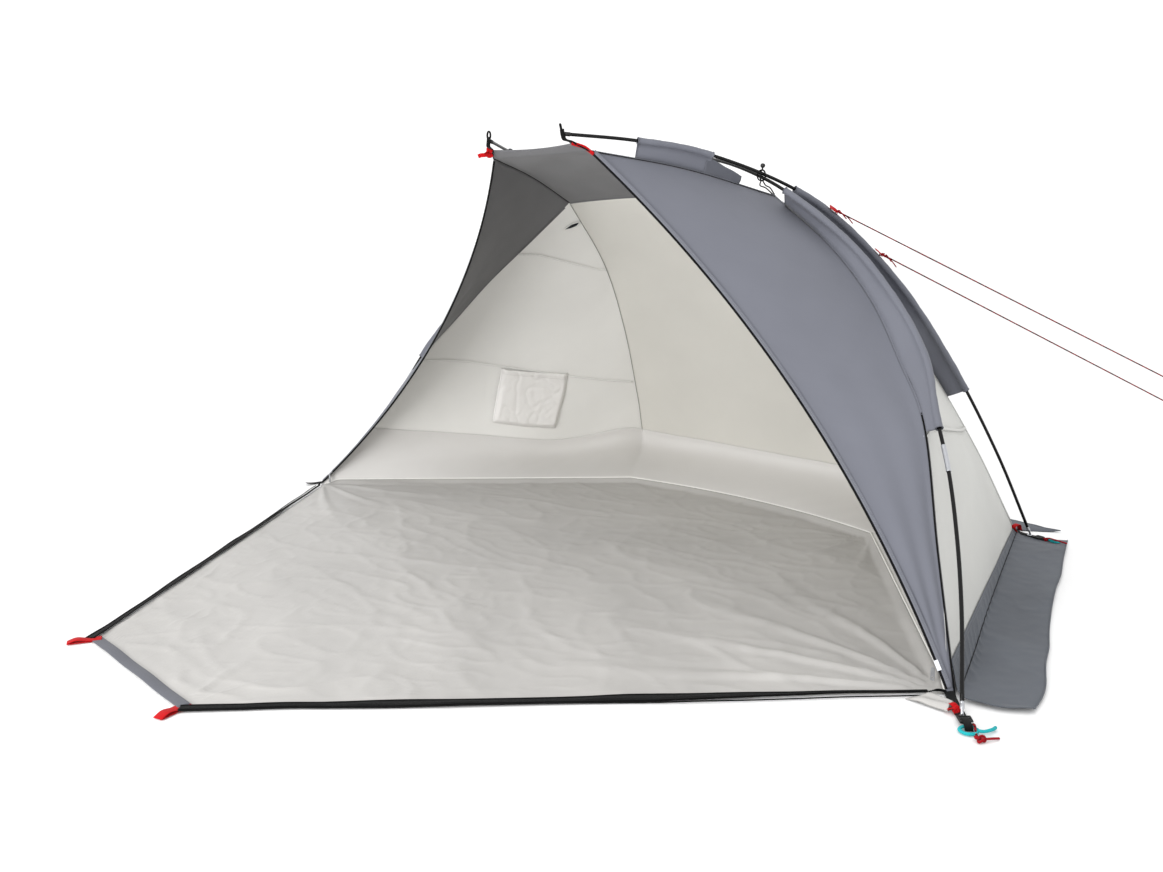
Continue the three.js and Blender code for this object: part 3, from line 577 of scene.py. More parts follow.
def sweep(points, across, up, profile, closed=False):
    """Vertices, faces and uv of a profile of (across, up) pairs carried along the points."""
    points, profile = np.asarray(points, float), np.asarray(profile, float)
    n, k = len(points), len(profile)
    rings = points[:, None] + across[:, None] * profile[None, :, :1] + up[:, None] * profile[None, :, 1:]
    faces = ring_faces(n, k, closed)
    if not closed:
        faces += [tuple(range(k))[::-1], tuple((n - 1) * k + np.arange(k))]
    return rings.reshape(-1, 3), faces, pairs(run_along(points), run_along(profile))


def frames(points):
    """Two directions across a path that turn as little as they can along it."""
    way = tangents(points)
    hint = (1.0, 0, 0) if abs(way[0][2]) > 0.9 else (0, 0, 1.0)
    across = [unit(np.cross(way[0], hint))]
    for t in way[1:]:
        across.append(unit(across[-1] - t * (across[-1] @ t)))
    across = np.array(across)
    return across, np.cross(across, way)


def combined(*parts):
    """Several (vertices, faces, uv) as one."""
    vertices, faces, uv, offset = [], [], [], 0
    for v, f, w in parts:
        vertices.append(v)
        faces += [tuple(np.array(face) + offset) for face in f]
        uv.append(w)
        offset += len(v)
    return np.vstack(vertices), faces, np.vstack(uv)


TUBE_SIDES = 8


def tube(points, radius, closed=False):
    """A round piece along a path. radius is one value, or one for each point."""
    across, up = frames(points)
    angle = np.arange(TUBE_SIDES) * 2 * math.pi / TUBE_SIDES
    v, f, uv = sweep(points, across, up, np.stack([np.cos(angle), np.sin(angle)], -1), closed)
    scale = np.repeat(radius * np.ones(len(points)), TUBE_SIDES)
    middle = np.repeat(np.asarray(points, float), TUBE_SIDES, 0)
    return middle + (v - middle) * scale[:, None], f, uv


def ribbon(points, across, width, thickness):
    """A flat band along the points, with rounded edges. across is its width direction at each point."""
    points = np.asarray(points, float)
    across = unit(np.broadcast_to(np.asarray(across, float), points.shape))
    way = tangents(points)
    across = unit(across - way * (across * way).sum(-1, keepdims=True))
    up = np.cross(way, across)
    h, t = width / 2, thickness / 2
    profile = [(-h, -t * 0.4), (-h + t, -t), (0, -t), (h - t, -t), (h, -t * 0.4), (h, t * 0.4), (h - t, t),
               (0, t), (-h + t, t), (-h, t * 0.4)]
    return sweep(points, across, up, profile)


def make(name, parts, materials, slot, **kw):
    v, f, uv = combined(*parts) if isinstance(parts, list) else parts
    return piece(name, v, f, materials, slot, uv=uv, **kw)


def wobble(points, scale, seed, axis_scale=(1, 1, 1)):
    """Smooth noise from -1 to 1 at each point of an array."""
    flat = np.asarray(points, float).reshape(-1, 3) * axis_scale * scale + seed * 17.3
    values = np.array([noise.noise(Vector(p)) for p in flat])
    return values.reshape(np.asarray(points).shape[:-1])


def creased(points, scale, seed, sharp=2.0, axis_scale=(1, 1, 1)):
    """Ridges from 0 to 1, like the folds that packing leaves in a sheet."""
    return (1 - np.abs(wobble(points, scale, seed, axis_scale)) * 1.6).clip(0, 1) ** sharp


def knot(centre, size, radius, turn=0.0):
    """A small overhand knot."""
    t = np.linspace(0, 2 * math.pi, 42, endpoint=False)
    x, y, z = np.sin(t) + 2 * np.sin(2 * t), np.cos(t) - 2 * np.cos(2 * t), -np.sin(3 * t)
    c, s = math.cos(turn), math.sin(turn)
    points = np.stack([c * x - s * y, s * x + c * y, z], -1) * size / 3 + centre
    return tube(points, radius, closed=True)


# ---------------------------------------------------------------- camera
CAMERA_AT = (2.442, -2.057, 0.976)
CAMERA_HEADING = (-0.7397, 0.6727)
CAMERA_PITCH = math.radians(-10.56)
SENSOR = 36.0
LENS = 33.7


def add_camera():
    data = bpy.data.cameras.new("camera")
    data.sensor_width, data.lens = SENSOR, LENS
    camera = bpy.data.objects.new("camera", data)
    way = Vector((*[c * math.cos(CAMERA_PITCH) for c in CAMERA_HEADING], math.sin(CAMERA_PITCH)))
    camera.location = CAMERA_AT
    camera.rotation_mode = "QUATERNION"
    camera.rotation_quaternion = way.to_track_quat("-Z", "Y")
    bpy.context.scene.collection.objects.link(camera)
    bpy.context.scene.camera = camera


add_camera()


# ---------------------------------------------------------------- guy ropes
STRANDS = 3


def twisted(points, radius, pitch):
    """A laid rope's strands, each a helix round the points."""
    across, up = frames(points)
    run = run_along(points)
    parts = []
    for k in range(STRANDS):
        angle = run / pitch * 2 * math.pi + k * 2 * math.pi / STRANDS
        offset = across * np.cos(angle)[:, None] + up * np.sin(angle)[:, None]
        parts.append(tube(points + offset * radius * 0.5, radius * 0.62))
    return parts


def repaint(node, material):
    """Gives one of the CAD's own pieces a material."""
    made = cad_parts[node]
    made.data.materials.clear()
    made.data.materials.append(material)
    return made


def add_guy_rope(number, from_y, end):
    pole = SIDE_POLES["right"]
    share = share_where(pole, 1, from_y)
    near = even(pole, 3, share - 0.001, share + 0.001)
    along = unit(near[2] - near[0])
    end = np.array(end)
    away = end - near[1]
    away = unit(away - along * (away @ along))
    start = near[1] + away * ROPE_START
    length = float(np.linalg.norm(end - start))
    path = straight(start, end)(np.linspace(0, 1, int(length / 0.0018)))
    strands = twisted(path, ROPE_RADIUS, 0.016)
    v, f, uv = combined(*strands)
    steps = np.arange(len(strands[0][1])) // TUBE_SIDES
    one = (steps * length / len(path) % ROPE_FLECK > ROPE_FLECK * 0.55).astype(int)
    picks = [int(a) for k in range(len(strands)) for a in (one if k else 1 - one)]
    loop = repaint(f"guy_loop_{number}", RED_CORD)
    rope = piece(f"guy_rope_{number}_laid", v, f, [RED_CORD, BLACK_CORD], "rope", uv=uv, picks=picks,
                 replaces=[f"guy_rope_{number}"])
    return start, unit(end - start), along


ROPE_STARTS = [add_guy_rope(i + 1, *rope) for i, rope in enumerate(ROPES)]


# ---------------------------------------------------------------- poles
def hollow(points, radius, bore, sides=20):
    """A tube with a bore right through and chamfered lips."""
    n = len(points)
    across, up = frames(points)
    way = tangents(points)
    lip = 0.0006
    order = [(0, bore, 0.0), (0, radius - lip, 0.0),
             *((i, radius, lip if i == 0 else 0) for i in range(n - 1)),
             (n - 1, radius, -lip), (n - 1, radius - lip, 0.0),
             *((i, bore, 0.0) for i in range(n - 1, 0, -1))]  # out along the wall, and back along the bore
    vertices = np.vstack([points[i] + way[i] * shift + circle(across[i], up[i], sides) * r
                          for i, r, shift in order])
    return vertices, ring_faces(len(order), sides, True), np.zeros((len(vertices), 2))


POLE_BORE = 0.0033
JOINT_GAP = 0.0003


def add_pole(name, curve, joints):
    """A pole's hollow sections, parted at shares of its length."""
    length = curve_length(curve)
    gap = JOINT_GAP / length
    ends = [0, *joints, 1]
    for k, (start, end) in enumerate(zip(ends, ends[1:])):
        start, end = start + (gap if k else 0), end - (gap if end < 1 else 0)
        points = even(curve, max(8, int((end - start) * length / 0.02)), start, end)
        node = f"{name}_section_{k + 1}"
        make(node + "_tube", hollow(points, POLE_RADIUS, POLE_BORE), FIBREGLASS, "fibreglass",
             replaces=[node])


FERRULE_LENGTH = 0.074
FERRULE_RADIUS = 0.0061
FERRULE_BORE = 0.00535
CRIMP = 0.955  # of the ferrule's radius


def add_ferrule(node, curve, share):
    """A steel joining sleeve, crimped once near each end."""
    length = curve_length(curve)
    half = FERRULE_LENGTH / 2 / length
    points = even(curve, 41, share - half, share + half)
    sides = 24
    v, f, uv = hollow(points, FERRULE_RADIUS, FERRULE_BORE, sides)
    rows = np.arange(len(v)) // sides
    crimped = np.isin(rows, [7, 8, 36, 37])
    middle = points[np.clip(rows - 2, 0, len(points) - 1)]
    v[crimped] = middle[crimped] + (v[crimped] - middle[crimped]) * CRIMP
    make(node + "_crimped", (v, f, uv), STEEL, "steel", replaces=[node])


HOOP_JOINTS = [share_where(HOOP_POLE, 0, x) for x in (-HOOP_JOINT_X, 0, HOOP_JOINT_X)]
add_pole("hoop_pole", HOOP_POLE, HOOP_JOINTS)
add_ferrule("hoop_ferrule_left", HOOP_POLE, HOOP_JOINTS[0])
add_ferrule("hoop_ferrule_right", HOOP_POLE, HOOP_JOINTS[2])
for hand in SIDES:
    joints = [share_where(SIDE_POLES[hand], 1, y) for y in SIDE_JOINT_Y]
    add_pole(f"side_pole_{hand}", SIDE_POLES[hand], joints)

PIN_LENGTH = 0.03
PEG_RADIUS = 0.003


def lathe(origin, way, profile):
    """A solid turned piece, from (distance along way, radius) pairs."""
    n, last = 24, len(profile) - 1
    faces = [tuple(f) for f in grid_faces(last, n - 1)]
    faces += [(i * n + n - 1, (i + 1) * n + n - 1, (i + 1) * n, i * n) for i in range(last)]
    faces += [tuple(range(n)), tuple(last * n + np.arange(n))[::-1]]
    vertices = turned_rings(origin, way, profile, (0, 1.0, 0.2), n)
    return vertices, [f[::-1] for f in faces], np.zeros((len(vertices), 2))


def pole_end(curve, end):
    """A pole's end point and the way out of it. end is 0 or 1."""
    points = even(curve, 3, 0.998 if end else 0.0, 1.0 if end else 0.002)
    return (points[2], unit(points[2] - points[1])) if end else (points[0], unit(points[0] - points[1]))


def add_foot_pin(node, curve, end):
    """A plated end cap with a groove, and the peg that goes through the strap's eyelet."""
    top, way = pole_end(curve, end)
    shoulder, r = PIN_LENGTH - 0.012, POLE_RADIUS
    profile = [(0.0004, r - 0.0008), (0.001, r), (0.004, r), (0.0046, r - 0.0006), (0.0054, r - 0.0006),
               (0.006, r), (shoulder - 0.003, r), (shoulder - 0.001, r - 0.0006),
               (shoulder, PEG_RADIUS + 0.0006), (shoulder + 0.0008, PEG_RADIUS),
               (PIN_LENGTH - 0.001, PEG_RADIUS), (PIN_LENGTH, PEG_RADIUS * 0.6)]
    make(node + "_turned", lathe(top, way, profile), STEEL, "steel", replaces=[node])
    return top + way * (PIN_LENGTH - 0.006)


PEGS = {
    "front_left": add_foot_pin("foot_pin_front_left", HOOP_POLE, 0),
    "front_right": add_foot_pin("foot_pin_front_right", HOOP_POLE, 1),
    "rear_left": add_foot_pin("foot_pin_rear_left", SIDE_POLES["left"], 1),
    "rear_right": add_foot_pin("foot_pin_rear_right", SIDE_POLES["right"], 1),
}
for hand, side in SIDES.items():
    top, way = pole_end(SIDE_POLES[hand], 0)
    cap = [(-0.014, POLE_RADIUS + 0.0001), (-0.0135, POLE_RADIUS + 0.001), (0.001, POLE_RADIUS + 0.001),
           (0.0034, POLE_RADIUS * 0.8), (0.0042, POLE_RADIUS * 0.3)]
    make(f"pole_tip_cap_{hand}", lathe(top, way, cap), RUBBER, "black_webbing")
for name in ("hoop_shock_cord", "side_shock_cord_left", "side_shock_cord_right"):
    repaint(name, ELASTIC)


# ---------------------------------------------------------------- canopy
def uv_grid(columns, rows, u=(0.0, 1.0), v=(0.0, 1.0)):
    return np.meshgrid(np.linspace(*u, columns + 1), np.linspace(*v, rows + 1), indexing="ij")


def margin(u, v, width=0.12):
    """0 on a panel's edges, rising to 1 inside."""
    return smooth(np.minimum(np.minimum(u, 1 - u), np.minimum(v, 1 - v)) / width)


def raised(points, height):
    """The grid moved along its normals, away from the middle of the shelter."""
    normals = grid_normals(points)
    if (normals * (points - ROOM_MIDDLE)).sum() < 0:
        normals = -normals
    return points + normals * height[..., None]


def tension(u, v, count, seed, reach=1.0):
    """Shallow folds that run down a panel and fade away from its foot."""
    drift = 0.7 * np.sin(2.3 * v + seed) + 0.25 * np.sin(5.1 * v + 2 * seed)
    return np.sin(2 * math.pi * count * (u + 0.05 * drift) + seed) * smooth((v - (1 - reach)) / reach)


WALLS = {}  # the finished surface of each wall, as a grid of points


def add_panels():
    """The canopy's stretched panels, each with shallow folds and an uneven surface."""
    u, v = uv_grid(70, 60)
    points = ROOF(u, v)
    sag = margin(u, v, 0.4)
    folds = 0.0022 * np.sin(2 * math.pi * (1.5 * u + 2.6 * v)) + 0.003 * wobble(points, 7, 1)
    layered("front_roof_cloth", raised(points, -0.004 * sag + folds * margin(u, v)), [GREY, GREY_INNER],
            "grey_fabric", replaces=["front_roof"])
    for hand, side in SIDES.items():
        seed = 2 + side
        u, v = uv_grid(64, 130)
        points = FRONT_PANEL[hand](u, v)
        relief = (0.0028 * tension(u, v, 2.5, seed, 0.8) + 0.003 * wobble(points, 5, seed)
                  + 0.0014 * wobble(points, 14, seed + 1))
        layered(f"front_panel_{hand}_cloth", raised(points, relief * margin(u, v)), [GREY, GREY_INNER],
                "grey_fabric", replaces=[f"front_panel_{hand}"])
        u, v = uv_grid(90, 110)
        points = SIDE_WALL[hand](u, v)
        relief = (0.0034 * tension(u, v, 2.2, seed + 3, 0.7) + 0.004 * wobble(points, 4, seed + 5)
                  + 0.0016 * wobble(points, 12, seed + 7))
        WALLS[hand] = raised(points, relief * margin(u, v))
        layered(f"side_wall_{hand}_cloth", WALLS[hand], [BEIGE, SIDE_INNER_PAINTED_LIGHT], "beige_fabric",
                replaces=[f"side_wall_{hand}"])
    u, v = uv_grid(120, 110)
    points = REAR_WALL(u, v)
    relief = (0.004 * wobble(points, 3, 8, (1.6, 1, 0.7)) + 0.002 * wobble(points, 9, 9)
              + 0.002 * np.sin(2 * math.pi * 5 * u + 2 * v) * smooth((v - 0.6) / 0.4))
    WALLS["rear"] = raised(points, relief * margin(u, v))
    layered("rear_wall_cloth", WALLS["rear"], [BEIGE, REAR_INNER_PAINTED_SHADE], "beige_fabric", replaces=["rear_wall"])


add_panels()


def on_surface(surface, points):
    """The surface's (u, v) nearest to each of some points, from a search that closes in three times."""
    found = []
    for target in np.asarray(points, float):
        u0, u1, v0, v1 = 0, 1, 0, 1
        for _ in range(3):
            u, v = uv_grid(24, 24, (u0, u1), (v0, v1))
            place = np.linalg.norm(surface(u, v) - target, axis=-1).argmin()
            bu, bv = u.flat[place], v.flat[place]
            du, dv = (u1 - u0) / 20, (v1 - v0) / 20
            u0, u1, v0, v1 = max(bu - du, 0), min(bu + du, 1), max(bv - dv, 0), min(bv + dv, 1)
        found.append((bu, bv))
    return np.array(found)


def surface_normals(surface, u, v):
    """The surface's directions away from the middle of the shelter."""
    step = 1e-3
    u, v = np.clip(u, step, 1 - step), np.clip(v, step, 1 - step)
    n = unit(np.cross(surface(u + step, v) - surface(u - step, v),
                      surface(u, v + step) - surface(u, v - step)))
    way = surface(u, v) - ROOM_MIDDLE
    return n * np.sign((n * way).sum(-1, keepdims=True))


def surface_line(surface, points, count, lift):
    """A path over a surface, through some points near it, with the directions across it and off it."""
    uv = on_surface(surface, points)
    run = run_along(uv)
    wanted = np.linspace(0, run[-1], count)
    u, v = (np.interp(wanted, run, uv[:, k]) for k in range(2))
    normals = surface_normals(surface, u, v)
    path = surface(u, v) + normals * lift
    return path, np.cross(tangents(path), normals), normals


# ---------------------------------------------------------------- seams
SEAM_WIDTH = 0.011


def seam_line(curve, surface, edge, count, start=0.0, end=1.0):
    """Points along a panel's edge, with the directions off the cloth and across the seam."""
    share = np.linspace(start, end, count)
    points = curve(share)
    n = surface_normals(surface, edge, share)
    return points, n, np.cross(tangents(points), n)


def seam_tape(curve, surface, edge, count=120, width=SEAM_WIDTH, lift=0.0014, start=0.0, end=1.0):
    """A flat felled seam along a panel's edge, on the outside, or on the inside where lift is negative."""
    points, n, across = seam_line(curve, surface, edge, count, start, end)
    return ribbon(points + n * lift, across, width, TAPE_THICK)


ROOF_EDGE = {"left": 0.0, "right": 1.0}
INSIDE = -0.0016  # the lift of the tapes on the inner face


for hand in SIDES:
    roof = (FRONT[hand], ROOF, ROOF_EDGE[hand], 60)
    hoop = (HOOPS[hand], FRONT_PANEL[hand], 1.0)
    rear = (REAR[hand], SIDE_WALL[hand], 1.0, 150)
    for name, tape, material, slot in (
            ("front_seam", seam_tape(*roof), GREY, "grey_fabric"),
            ("front_seam_inside", seam_tape(*roof, 0.006, -0.0012), PIPING, "black_webbing"),
            ("hoop_seam", seam_tape(*hoop, 110, 0.004, 0.0018, 0.0, 0.665), GREY, "grey_fabric"),
            ("hoop_piping", seam_tape(*hoop, 60, 0.004, 0.0018, 0.66), PIPING, "black_webbing"),
            ("hoop_seam_inside", seam_tape(*hoop, 150, 0.009, INSIDE, 0.02, 0.97), GREY_INNER, "grey_fabric"),
            ("rear_seam", seam_tape(*rear), BEIGE, "beige_fabric"),
            ("rear_seam_inside", seam_tape(*rear, 0.01, INSIDE, 0.0, 0.76), SIDE_INNER_PAINTED_LIGHT, "beige_fabric"),
            # The rear seams' inner edge gets a dark strip: a painted shadow.
            ("rear_seam_painted_shadow", seam_tape(*rear, 0.0032, -0.003, 0.0, 0.75), SEAM_SHADOW, "beige_fabric")):
        make(f"{name}_{hand}", tape, material, slot)

roof = (roof_seam, lambda u, v: REAR_WALL(v, u), 0.0, 90)
make("roof_seam_outside", seam_tape(*roof), GREY, "grey_fabric")
make("roof_seam_inside", seam_tape(*roof, 0.01, INSIDE), GREY_INNER, "grey_fabric")


# ---------------------------------------------------------------- groundsheet and door, one sheet of cloth
DOOR_ROWS, FLOOR_ROWS, FLOOR_COLUMNS = 130, 100, 270
RIM_HEIGHT = 0.02
RIM_WIDTH = 0.03
EDGE_GAP = TAPE_WIDTH + 0.002
GROUND_CLEAR = 0.0012  # from the ground to the middle of the sheet where it lies flat


def door_half(y):
    return FLOOR_HALF_WIDTH + (DOOR_OUTER_HALF - FLOOR_HALF_WIDTH) * (-y / DOOR_DEPTH)


def skewed(x, y):
    """Where the door's cloth lies, moved over a little towards its outer edge."""
    return x + DOOR_SHIFT * np.clip(-y / DOOR_DEPTH, 0, 1)


def ground_relief(x, y):
    """Packing creases and shallow waves, in metres."""
    flat = np.stack([x, y, np.zeros_like(x)], -1)
    waves = 0.0022 * wobble(flat, 2.2, 21, (0.8, 1.2, 1)) + 0.0012 * wobble(flat, 7, 22)
    lines = (0.0034 * creased(flat, 3.1, 23, 7, (0.7, 1.5, 1))
             + 0.0026 * creased(flat, 7.0, 24, 6, (0.8, 1.5, 1)) + 0.0016 * creased(flat, 15.0, 25, 4))
    return 0.0024 + waves + lines


def corner_folds(x, y, at, spread, count, seed):
    """Folds that fan out over the sheet, as far as spread, from a corner that pulls on it."""
    dx, dy = x - at[0], y - at[1]
    away = np.hypot(dx, dy)
    angle = np.arctan2(dy, dx)
    fade = smooth(away / 0.12) * (1 - smooth(away / spread))
    return fade * np.maximum(np.sin(angle * count + seed + 0.6 * np.sin(away * 7)), -0.2) ** 3


def add_groundsheet():
    """The floor and the door in one grid, from the door's outer edge to the rear wall."""
    w = np.linspace(-1, 1, FLOOR_COLUMNS + 1)
    door_y = np.linspace(-DOOR_DEPTH + 0.002, 0, DOOR_ROWS + 1)
    deep = np.linspace(0, 1, FLOOR_ROWS + 1)[1:]
    across, y = np.meshgrid(w, np.concatenate([door_y, deep]), indexing="ij")
    in_door = np.broadcast_to(np.arange(y.shape[1]) <= DOOR_ROWS, y.shape)
    s = np.where(in_door, 0, y)
    half = np.where(in_door, door_half(np.minimum(y, 0)) - EDGE_GAP * smooth(-y / 0.03),
                    FLOOR_HALF_WIDTH + (FLOOR_REAR_HALF - FLOOR_HALF_WIDTH) * s)
    x = across * half
    y = np.where(in_door, y, s * (FLOOR_REAR_Y + FLOOR_REAR_BOW * (1 - across ** 2)))
    x = skewed(x, y)
    z = ground_relief(x, y)
    door_corners = [(skewed(side * DOOR_OUTER_HALF, -DOOR_DEPTH), -DOOR_DEPTH) for side in (1, -1)]
    for height, *fan in ((0.011, (FLOOR_HALF_WIDTH, 0), 1.1, 17, 0.4),
                         (0.010, (-FLOOR_HALF_WIDTH, 0), 0.8, 15, 1.9),
                         (0.006, (FLOOR_REAR_HALF, FLOOR_REAR_Y), 0.6, 11, 0.2),
                         (0.005, door_corners[0], 0.35, 11, 2.2), (0.005, door_corners[1], 0.35, 12, 0.7)):
        z += height * corner_folds(x, y, *fan)
    outer = np.minimum((1 - np.abs(across)) * half, np.abs(y + DOOR_DEPTH))
    inner = np.minimum((1 - np.abs(across)) * half * 0.76, (1 - s) * FLOOR_REAR_Y)
    rim = RIM_HEIGHT * (1 - smooth(inner / RIM_WIDTH)) * smooth(s / 0.06)
    hem = smooth(np.where(in_door, outer, inner) / 0.03)
    under_hem = smooth((y + DOOR_DEPTH - 0.03) / 0.03)
    flatness = np.where(in_door, (0.25 + 0.75 * hem) * under_hem, hem)
    z = GROUND_CLEAR + (z - GROUND_CLEAR) * flatness + np.where(in_door, 0, rim)
    points = np.stack([x, y, np.maximum(z, GROUND_CLEAR)], -1)
    sheet = layered("groundsheet_and_door", points, [GROUND], "ground_fabric", COATED_THICK,
                    outward=np.array([0, 0, 1.0]), body=None, replaces=["groundsheet", "door"])
    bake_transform(sheet)
    return sheet


add_groundsheet()


# ---------------------------------------------------------------- coving round three sides of the floor
def grid_at(points, u, v):
    """A point between the points of a grid."""
    x, y = u * (points.shape[0] - 1), v * (points.shape[1] - 1)
    i, j = min(int(x), points.shape[0] - 2), min(int(y), points.shape[1] - 2)
    x, y = x - i, y - j
    return ((1 - x) * (1 - y) * points[i, j] + x * (1 - y) * points[i + 1, j]
            + (1 - x) * y * points[i, j + 1] + x * y * points[i + 1, j + 1])


def coving_curve(t):
    """For a share t round the floor: where the cloth leaves the wall, its way there, and the floor's rim."""
    third = min(int(t * 3), 2)
    s = t * 3 - third
    corners = [(-FLOOR_HALF_WIDTH, 0.004), (-FLOOR_REAR_HALF, FLOOR_REAR_Y), (FLOOR_REAR_HALF, FLOOR_REAR_Y),
               (FLOOR_HALF_WIDTH, 0.004)]
    low = np.array([*(np.array(corners[third]) * (1 - s) + np.array(corners[third + 1]) * s), 0.0])
    low[1] += FLOOR_REAR_BOW * 4 * s * (1 - s) if third == 1 else 0
    low[2] = RIM_HEIGHT * smooth(min(t, 1 - t) * 3 / 0.06) + 0.001
    wall = WALLS[("left", "rear", "right")[third]]
    share = 1 - s if third == 2 else s
    rise = 1 if third == 1 else smooth((share - 0.6) / 0.4)
    top = COVING_TOP["side"] + (COVING_TOP["corner"] - COVING_TOP["side"]) * rise
    high, below = (grid_at(wall, share, top + step) for step in (0, 0.03))
    return high, unit(below - high), low


def add_coving():
    """A strip of wall cloth that curves from the walls down to the floor's rim."""
    columns, rows = 360, 30
    middle = np.array([0, FLOOR_REAR_Y / 2, 0])
    b = np.linspace(0, 1, rows + 1)[:, None]
    strips = []
    for t in np.linspace(0, 1, columns + 1):
        high, way, low = coving_curve(t)
        inward = unit((middle - high) * (1, 1, 0))
        reach = np.linalg.norm(low - high)
        start = high + inward * 0.0022 * smooth(min(t, 1 - t) * 60)
        bend = low + (high - low) * 0.36 - inward * 0.05 * reach
        strips.append((1 - b) ** 3 * start + 3 * (1 - b) ** 2 * b * (start + way * 0.3 * reach)
                      + 3 * (1 - b) * b * b * bend + b ** 3 * low)
    points = np.array(strips)
    t, w = np.meshgrid(np.linspace(0, 1, columns + 1), b[:, 0], indexing="ij")
    folds = 0.0008 * np.sin(2 * math.pi * 31 * t + 3 * w) + 0.0022 * wobble(points, 5, 31)
    points[..., 2] += folds * smooth(w / 0.4) * smooth((1 - w) / 0.1)
    points[..., 2] = np.maximum(points[..., 2], 0.0016)
    layered("coving_cloth", points, [BEIGE, COVING_CLOTH], "beige_fabric", outward=np.array([0, 0, -1.0]),
            replaces=["coving"])
    make("floor_rim_binding", tube(points[:, -1] + (0, 0, 0.0012), 0.0026), SIDE_INNER_PAINTED_LIGHT, "beige_fabric")


add_coving()


# ---------------------------------------------------------------- zips
COIL_WIDTH = 0.0042
PIPING_RADIUS = {"left": 0.0028, "right": 0.0016}
ZIP_SPAN = (-0.985, 0.992)  # of the arc's half length, down from its middle
COIL_THICK = 0.0016
TOOTH = {"pitch": 0.0034, "long": 0.0016, "wide": 0.0046, "high": 0.0024}


def teeth(points, across, up):
    """A row of coil teeth: one rounded block for each pitch."""
    count = int(norm(np.diff(points, axis=0)).sum() / TOOTH["pitch"])
    at = np.linspace(0, len(points) - 1, count)
    centre, a, b = at_shares(points, at), unit(at_shares(across, at)), unit(at_shares(up, at))
    w = unit(np.cross(a, b))
    l, d, h = TOOTH["long"] / 2, TOOTH["wide"] / 2, TOOTH["high"] / 2
    corners = [(i, j, k) for i in (-1, 1) for j in (-1, 1) for k in (-1, 1)]
    block = np.stack([centre + w * (i * l * (0.8 if k > 0 else 1)) + a * (j * d) + b * (k * h)
                      for i, j, k in corners], 1)
    faces = [(0, 1, 3, 2), (4, 6, 7, 5), (0, 4, 5, 1), (2, 3, 7, 6), (0, 2, 6, 4), (1, 5, 7, 3)]
    return block.reshape(-1, 3), repeated(faces, 8, count), np.zeros((8 * count, 2))


def add_opening_zip(hand):
    """Tape, coil and piping round the opening's edge."""
    edge, across, up = ARC[hand].tape(*ZIP_SPAN, 170)
    band = ribbon(edge + across * COIL_WIDTH / 2, across, COIL_WIDTH, COIL_THICK)
    coil = teeth(edge + across * 0.0012, across, up)
    make(f"opening_zip_{hand}_coil", [band, coil], PIPING, "black_webbing", replaces=[f"opening_zip_{hand}"])
    tape = ribbon(edge + across * (COIL_WIDTH + TAPE_WIDTH) / 2, across, TAPE_WIDTH - COIL_WIDTH, TAPE_THICK)
    make(f"opening_zip_{hand}_tape", tape, GREY, "grey_fabric")
    fold = tube(edge + across * (TAPE_WIDTH + 0.0008), 0.0014)
    make(f"opening_zip_{hand}_fold", fold, GREY, "grey_fabric")
    piping = tube(edge - up * 0.0022, PIPING_RADIUS[hand])
    make(f"opening_zip_{hand}_piping", piping, PIPING, "black_webbing")


def add_door_zip(hand, side):
    """The other half of the zip, along the door's side: a tape in slight waves that twists here and there."""
    y = np.linspace(-0.03, -DOOR_DEPTH, 300)
    seed = np.stack([y, 0 * y, 0 * y], -1)
    wave = wobble(seed, 3.4, 41 + side) + 0.4 * wobble(seed, 9, 47 + side)
    width = 0.0215 + 0.011 * wobble(seed, 5.2, 44 + side)
    x = skewed(side * (door_half(y) + 0.002), y) + side * 0.008 * wave
    points = np.stack([x, y, 0.0065 + 0.0025 * np.abs(wave)], -1)
    way = tangents(points)
    across = np.stack([np.full_like(y, side), 0 * y, -0.12 + 0.2 * wave], -1)
    across = unit(across - way * (across * way).sum(-1, keepdims=True))
    sewn = points + across * (width[:, None] / 2)
    shrink = width * 0.62 * smooth((y + 0.62) / 0.5)
    width, points = width - shrink, points - across * (shrink[:, None] / 2)
    up = np.cross(across, way) * side
    up *= np.sign(up[:, 2:])
    flat = np.array([(-0.5, -0.0007), (0, -0.0009), (0.5, -0.0007), (0.5, 0.0007), (0, 0.0009),
                     (-0.5, 0.0007)])
    v, f, uv = sweep(points, across, up, flat)
    middle = points[:, None] + up[:, None] * flat[None, :, 1:]
    v = (v.reshape(middle.shape) - middle) * width[:, None, None] + middle
    band = (v.reshape(-1, 3), f, uv)
    coil = teeth(points + across * (width[:, None] / 2 - 0.003) + up * 0.0012, across, up)
    fold = tube(points - across * (width[:, None] / 2 - 0.001) + up * 0.0006, 0.0019)
    edge = tube(sewn - up * 0.0004, 0.0017)
    make(f"door_zip_{hand}_coil", [band, coil, fold, edge], PIPING, "black_webbing", body="door",
         replaces=[f"door_zip_{hand}"])


def add_zip_end(hand, side):
    """The last of the zip, from the door's corner to the slider, on the shelter's side of the fold."""
    route = [(1.318, -0.026, 0.008), (1.328, -0.014, 0.011), (1.337, -0.006, 0.011), (1.344, -0.001, 0.009)]
    path = even(catmull(mirrored(route, side)), 24)
    band = ribbon(path, (0.7 * side, 0.7, 0.3), 0.006, COIL_THICK)
    across, up = frames(path)
    make(f"zip_end_{hand}", [band, teeth(path, across, up)], PIPING, "black_webbing")


for hand, side in SIDES.items():
    add_opening_zip(hand)
    add_door_zip(hand, side)
    add_zip_end(hand, side)

hem_x = np.linspace(-DOOR_OUTER_HALF, DOOR_OUTER_HALF, 60)
hem_points = np.stack([skewed(hem_x, -DOOR_DEPTH + 0 * hem_x), -DOOR_DEPTH + 0.013 + 0 * hem_x,
                       0.0052 + 0.001 * np.sin(hem_x * 31)], -1)
